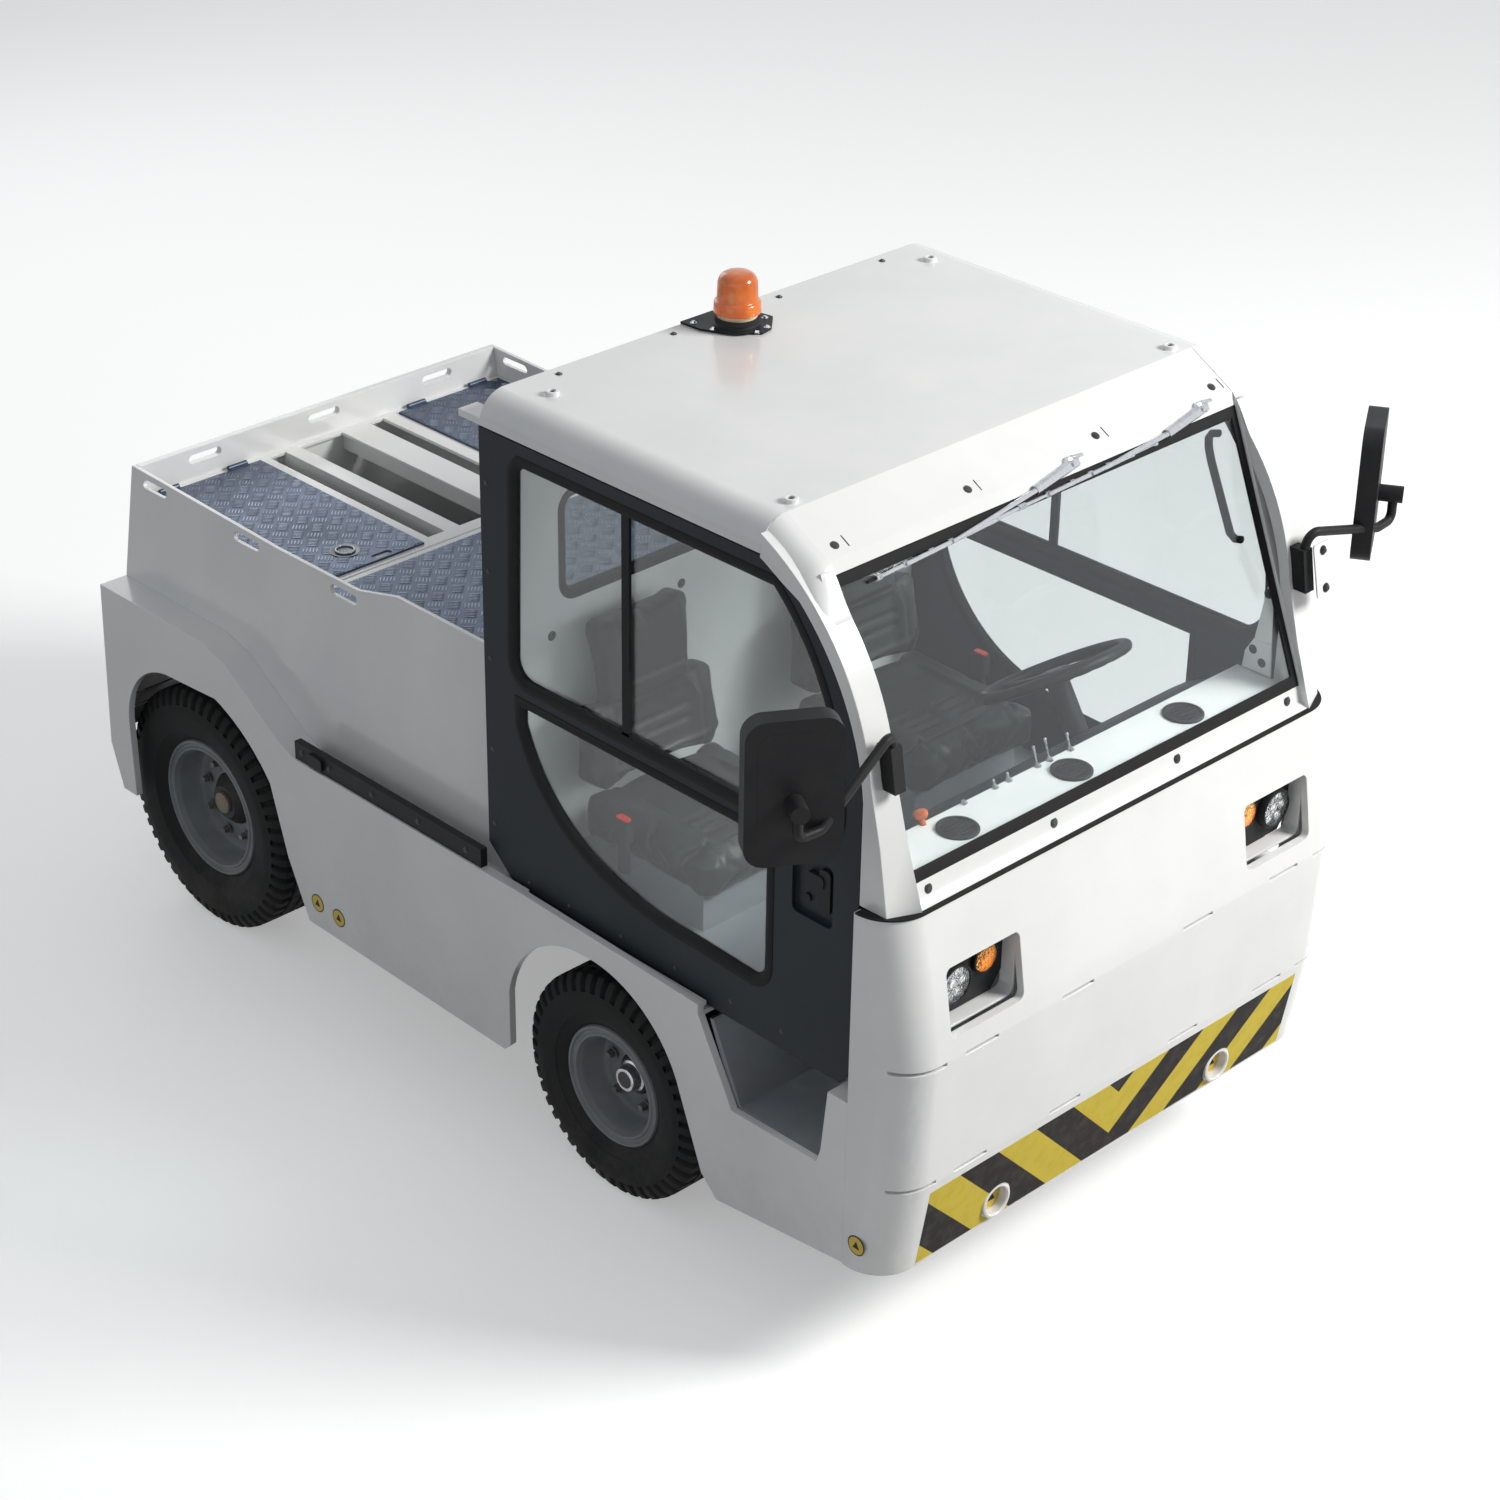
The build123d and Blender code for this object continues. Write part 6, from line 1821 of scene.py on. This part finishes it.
# ---------------------------------------------------------------- cab wall, step and belts
# Domed screws round the cab's rear window, belt buckles beside the seats, and a step edged
# with grooved aluminium strips and held by dark screws.
fasteners("wall_screws", [((x, -0.1562, z), (0, -1, 0)) for x, z in (
    (-0.542, 1.304), (-0.130, 1.302), (0.130, 1.302), (0.542, 1.304), (-0.542, 1.74),
    (0.542, 1.74),
)], radius=0.009, height=0.004, look=screw_black, sides=16)
buckle_red = finish("buckle_red", rgb(0.60, 0.03, 0.02), rgb(0.48, 0.02, 0.015), 0.25, 0.4)
buckles = bmesh.new()
for side in (-1, 1):
    # stalk, body and red push button
    for wide, deep, radius, top, bottom, index in (
        (0.016, 0.030, 0.004, 0.945, 0.830, 0), (0.026, 0.046, 0.006, 0.972, 0.915, 0),
        (0.018, 0.036, 0.004, 0.9765, 0.971, 1),
    ):
        outline = rounded(wide, deep, radius, 3, (side * 0.604, -0.470))
        slab(buckles, outline, top, bottom, lying, index)
as_piece("belt_buckles", buckles, (black_plastic, buckle_red))

strip_light = finish(
    "strip_light", rgb(0.55, 0.56, 0.58), rgb(0.42, 0.43, 0.45), 0.3, 0.5, metallic=0.8
)
strip_dark = finish(
    "strip_dark", rgb(0.06, 0.06, 0.07), rgb(0.10, 0.10, 0.11), 0.35, 0.55, metallic=0.3
)
step_y, step_z, step_run, groove_w = -1.150, 0.4706, 0.330, 0.0012
treads = bmesh.new()
step_spots = []
for side in (-1, 1):
    for x, wide, index in ((0.700, 0.017, 0), (0.716, 0.013, 1)):
        for offset in (-wide / 3, 0.0, wide / 3):
            rib = rounded(
                wide / 3 - groove_w, step_run, 0.0006, 2, (side * (x + offset), step_y)
            )
            slab(treads, rib, step_z + 0.0035, step_z - 0.0005, lying, index)
    step_spots += [((side * 0.670, y, step_z), (0, 0, 1)) for y in (-1.255, -1.165, -1.075)]
as_piece("step_strips", treads, (strip_light, strip_dark))
fasteners("step_screws", step_spots, radius=0.007, height=0.003, look=screw_black, sides=16)

# ---------------------------------------------------------------- body side signs and rails
# Round yellow signs with a plain black triangle by the lashing points, and a moulded bump
# stop with two screws near the rear end of each door rail.
rail_low, rail_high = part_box("door_rails")
rail_mid_z = (rail_low.z + rail_high.z) / 2
stop_y, stop_w, stop_h, stop_t = 0.520, 0.060, 0.034, 0.009
signs, stops = bmesh.new(), bmesh.new()
for side in (-1, 1):
    for y, z in ((0.539, 0.343), (0.452, 0.338), (-1.377, 0.342)):
        face_x = side * 0.7502
        # black disc, yellow disc on it, and the triangle
        for low, high, radius, index in ((0.0, 0.0004, 0.0250, 1), (0.0003, 0.0006, 0.0220, 0)):
            turned(
                signs, ((low, 0.0), (low, radius), (high, radius), (high, 0.0)),
                (face_x, y, z), (side, 0, 0), 32, index,
            )
        triangle = [(y - 0.0105, z - 0.0080), (y + 0.0105, z - 0.0080), (y, z + 0.0115)]
        slab(signs, triangle, face_x + side * 0.0008, face_x + side * 0.0004, facing_aside, 1)
    slab(
        stops, rounded(stop_w, stop_h, 0.010, 4, (stop_y, rail_mid_z)),
        side * (rail_high.x + stop_t), side * (rail_high.x - 0.001), facing_aside,
    )
as_piece("side_signs", signs, (sign_yellow, deep_black))
as_piece("rail_stops", stops, black_plastic)
fasteners("rail_screws", [
    ((side * rail_high.x, y, rail_mid_z), (side, 0, 0))
    for side in (-1, 1) for y in (-0.060, 0.120, 0.300, 0.470, 0.580)
], radius=0.006, height=0.003, look=screw_black, sides=16)

# ---------------------------------------------------------------- wheel houses
# Black moulded shields, bent from sheet, follow each rear tyre behind the fender as inner wheel
# houses.
# Their black is also painted shade for the dark inside of the arch. They are clipped to the
# fender's inside.
shield_r, shield_sheet, shield_in_x, shield_out_x, shield_steps = 0.360, 0.003, 0.560, 0.733, 24
rear_axle_y, rear_axle_z = 1.117, 0.344
shields = bmesh.new()
for side in (-1, 1):
    rings = []
    for k in range(shield_steps + 1):
        angle = math.radians(20.0 + 42.0 * k / shield_steps)
        out = Vector((0.0, math.cos(angle), math.sin(angle)))
        rings.append([
            shields.verts.new(Vector((side * x, rear_axle_y, rear_axle_z)) + out * radius)
            for x, radius in (
                (shield_in_x, shield_r), (shield_out_x, shield_r),
                (shield_out_x, shield_r + shield_sheet), (shield_in_x, shield_r + shield_sheet),
            )
        ])
    skin(shields, rings, capped=True)
as_piece("wheel_house_shade_shields", shields, black_plastic)

# ---------------------------------------------------------------- deck locks
# A sunk ring lock near the middle of each hatch: a pressed steel dish, and a lifting ring
# bent from round bar that lies in it.
dished = finish(
    "dished_plate", rgb(0.13, 0.14, 0.15), rgb(0.20, 0.21, 0.22), 0.3, 0.5, metallic=0.8
)
for side, name in ((-1, "right"), (1, "left")):
    lock_foot = Vector((side * 0.421, 0.790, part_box(f"deck_hatch_{name}")[0].z + 0.0062))
    lock = bmesh.new()
    turned(lock, (
        (-0.001, 0.0), (-0.001, 0.040), (0.0016, 0.040), (0.0020, 0.037), (0.0012, 0.033),
        (0.0006, 0.0),
    ), lock_foot, (0, 0, 1), 40, 1)
    hoop(
        lock, lock_foot + Vector((0.0, 0.0, 0.0034)), Vector((1.0, 0.0, 0.0)),
        Vector((0.0, 1.0, 0.0)), 0.024, 0.0030, 40, 10,
    )
    as_piece(
        f"deck_lock_{name}", lock, (ring_steel, dished), f"deck_hatch_{name}",
        crease=40.0,
    )

# ---------------------------------------------------------------- rear lamps
# Upright lamps with a black foot and three moulded lenses: amber over red over clear. They
# are screwed to the rear wall.
red_core = finish("red_core", rgb(0.55, 0.02, 0.015), rgb(0.42, 0.015, 0.01), 0.25, 0.4)
white_core = finish("white_core", rgb(0.70, 0.71, 0.72), rgb(0.60, 0.61, 0.62), 0.2, 0.35)
rear_low, rear_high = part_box("rear_lamps")
lamp_mid_z, foot_w, foot_h, foot_t, lens_w = 0.800, 0.088, 0.188, 0.020, 0.073
lamp_holders = bmesh.new()
for x in (-0.660, 0.660):
    foot_outline = rounded(foot_w, foot_h, 0.008, 4, (x, lamp_mid_z))
    slab(lamp_holders, foot_outline, rear_low.y + foot_t, rear_low.y - 0.001, facing_ahead)
    for z, high, index in ((0.858, 0.054, 1), (lamp_mid_z, 0.056, 2), (0.742, 0.054, 3)):
        slab(
            lamp_holders, rounded(lens_w, high, 0.006, 4, (x, z)), rear_high.y - 0.0005,
            rear_low.y + foot_t - 0.001, facing_ahead, index,
        )
as_piece(
    "rear_lamp_units", lamp_holders, (black_plastic, amber_core, red_core, white_core),
    stands_for=("rear_lamps",),
)

# ---------------------------------------------------------------- underbody and hitch
# Painted steel chassis, cast axle parts, a plated track rod, a worn towing jaw and pin, and
# a dark battery case.
frame_paint = finish(
    "frame_paint", rgb(0.045, 0.047, 0.050), rgb(0.070, 0.070, 0.070), 0.45, 0.65, scale=4.0,
    dirt=0.6, reach=0.9,
)
axle_iron = finish(
    "axle_iron", rgb(0.050, 0.050, 0.052), rgb(0.085, 0.078, 0.070), 0.5, 0.7, scale=14.0,
    relief=(260.0, 0.5, 0.0010), dirt=0.7, reach=0.8, metallic=0.3,
)
hitch_steel = finish(
    "hitch_steel", rgb(0.075, 0.076, 0.080), rgb(0.150, 0.140, 0.130), 0.38, 0.6, scale=22.0,
    relief=(300.0, 0.4, 0.0006), dirt=0.3, reach=0.8, metallic=0.5,
)
battery_case = finish(
    "battery_case", rgb(0.035, 0.037, 0.042), rgb(0.055, 0.057, 0.060), 0.45, 0.62, scale=5.0
)
for node, width, look in (
    ("tow_hitch", 0.0015, hitch_steel), ("chassis_frame", 0.0015, frame_paint),
    ("battery_pack", 0.004, battery_case), ("front_axle", 0.003, axle_iron),
    ("rear_axle", 0.003, axle_iron), ("knuckle_right", 0.002, axle_iron),
    ("knuckle_left", 0.002, axle_iron),
):
    eased(node, width, look)
coated("hitch_pin", plated)
coated("tie_rod", plated)
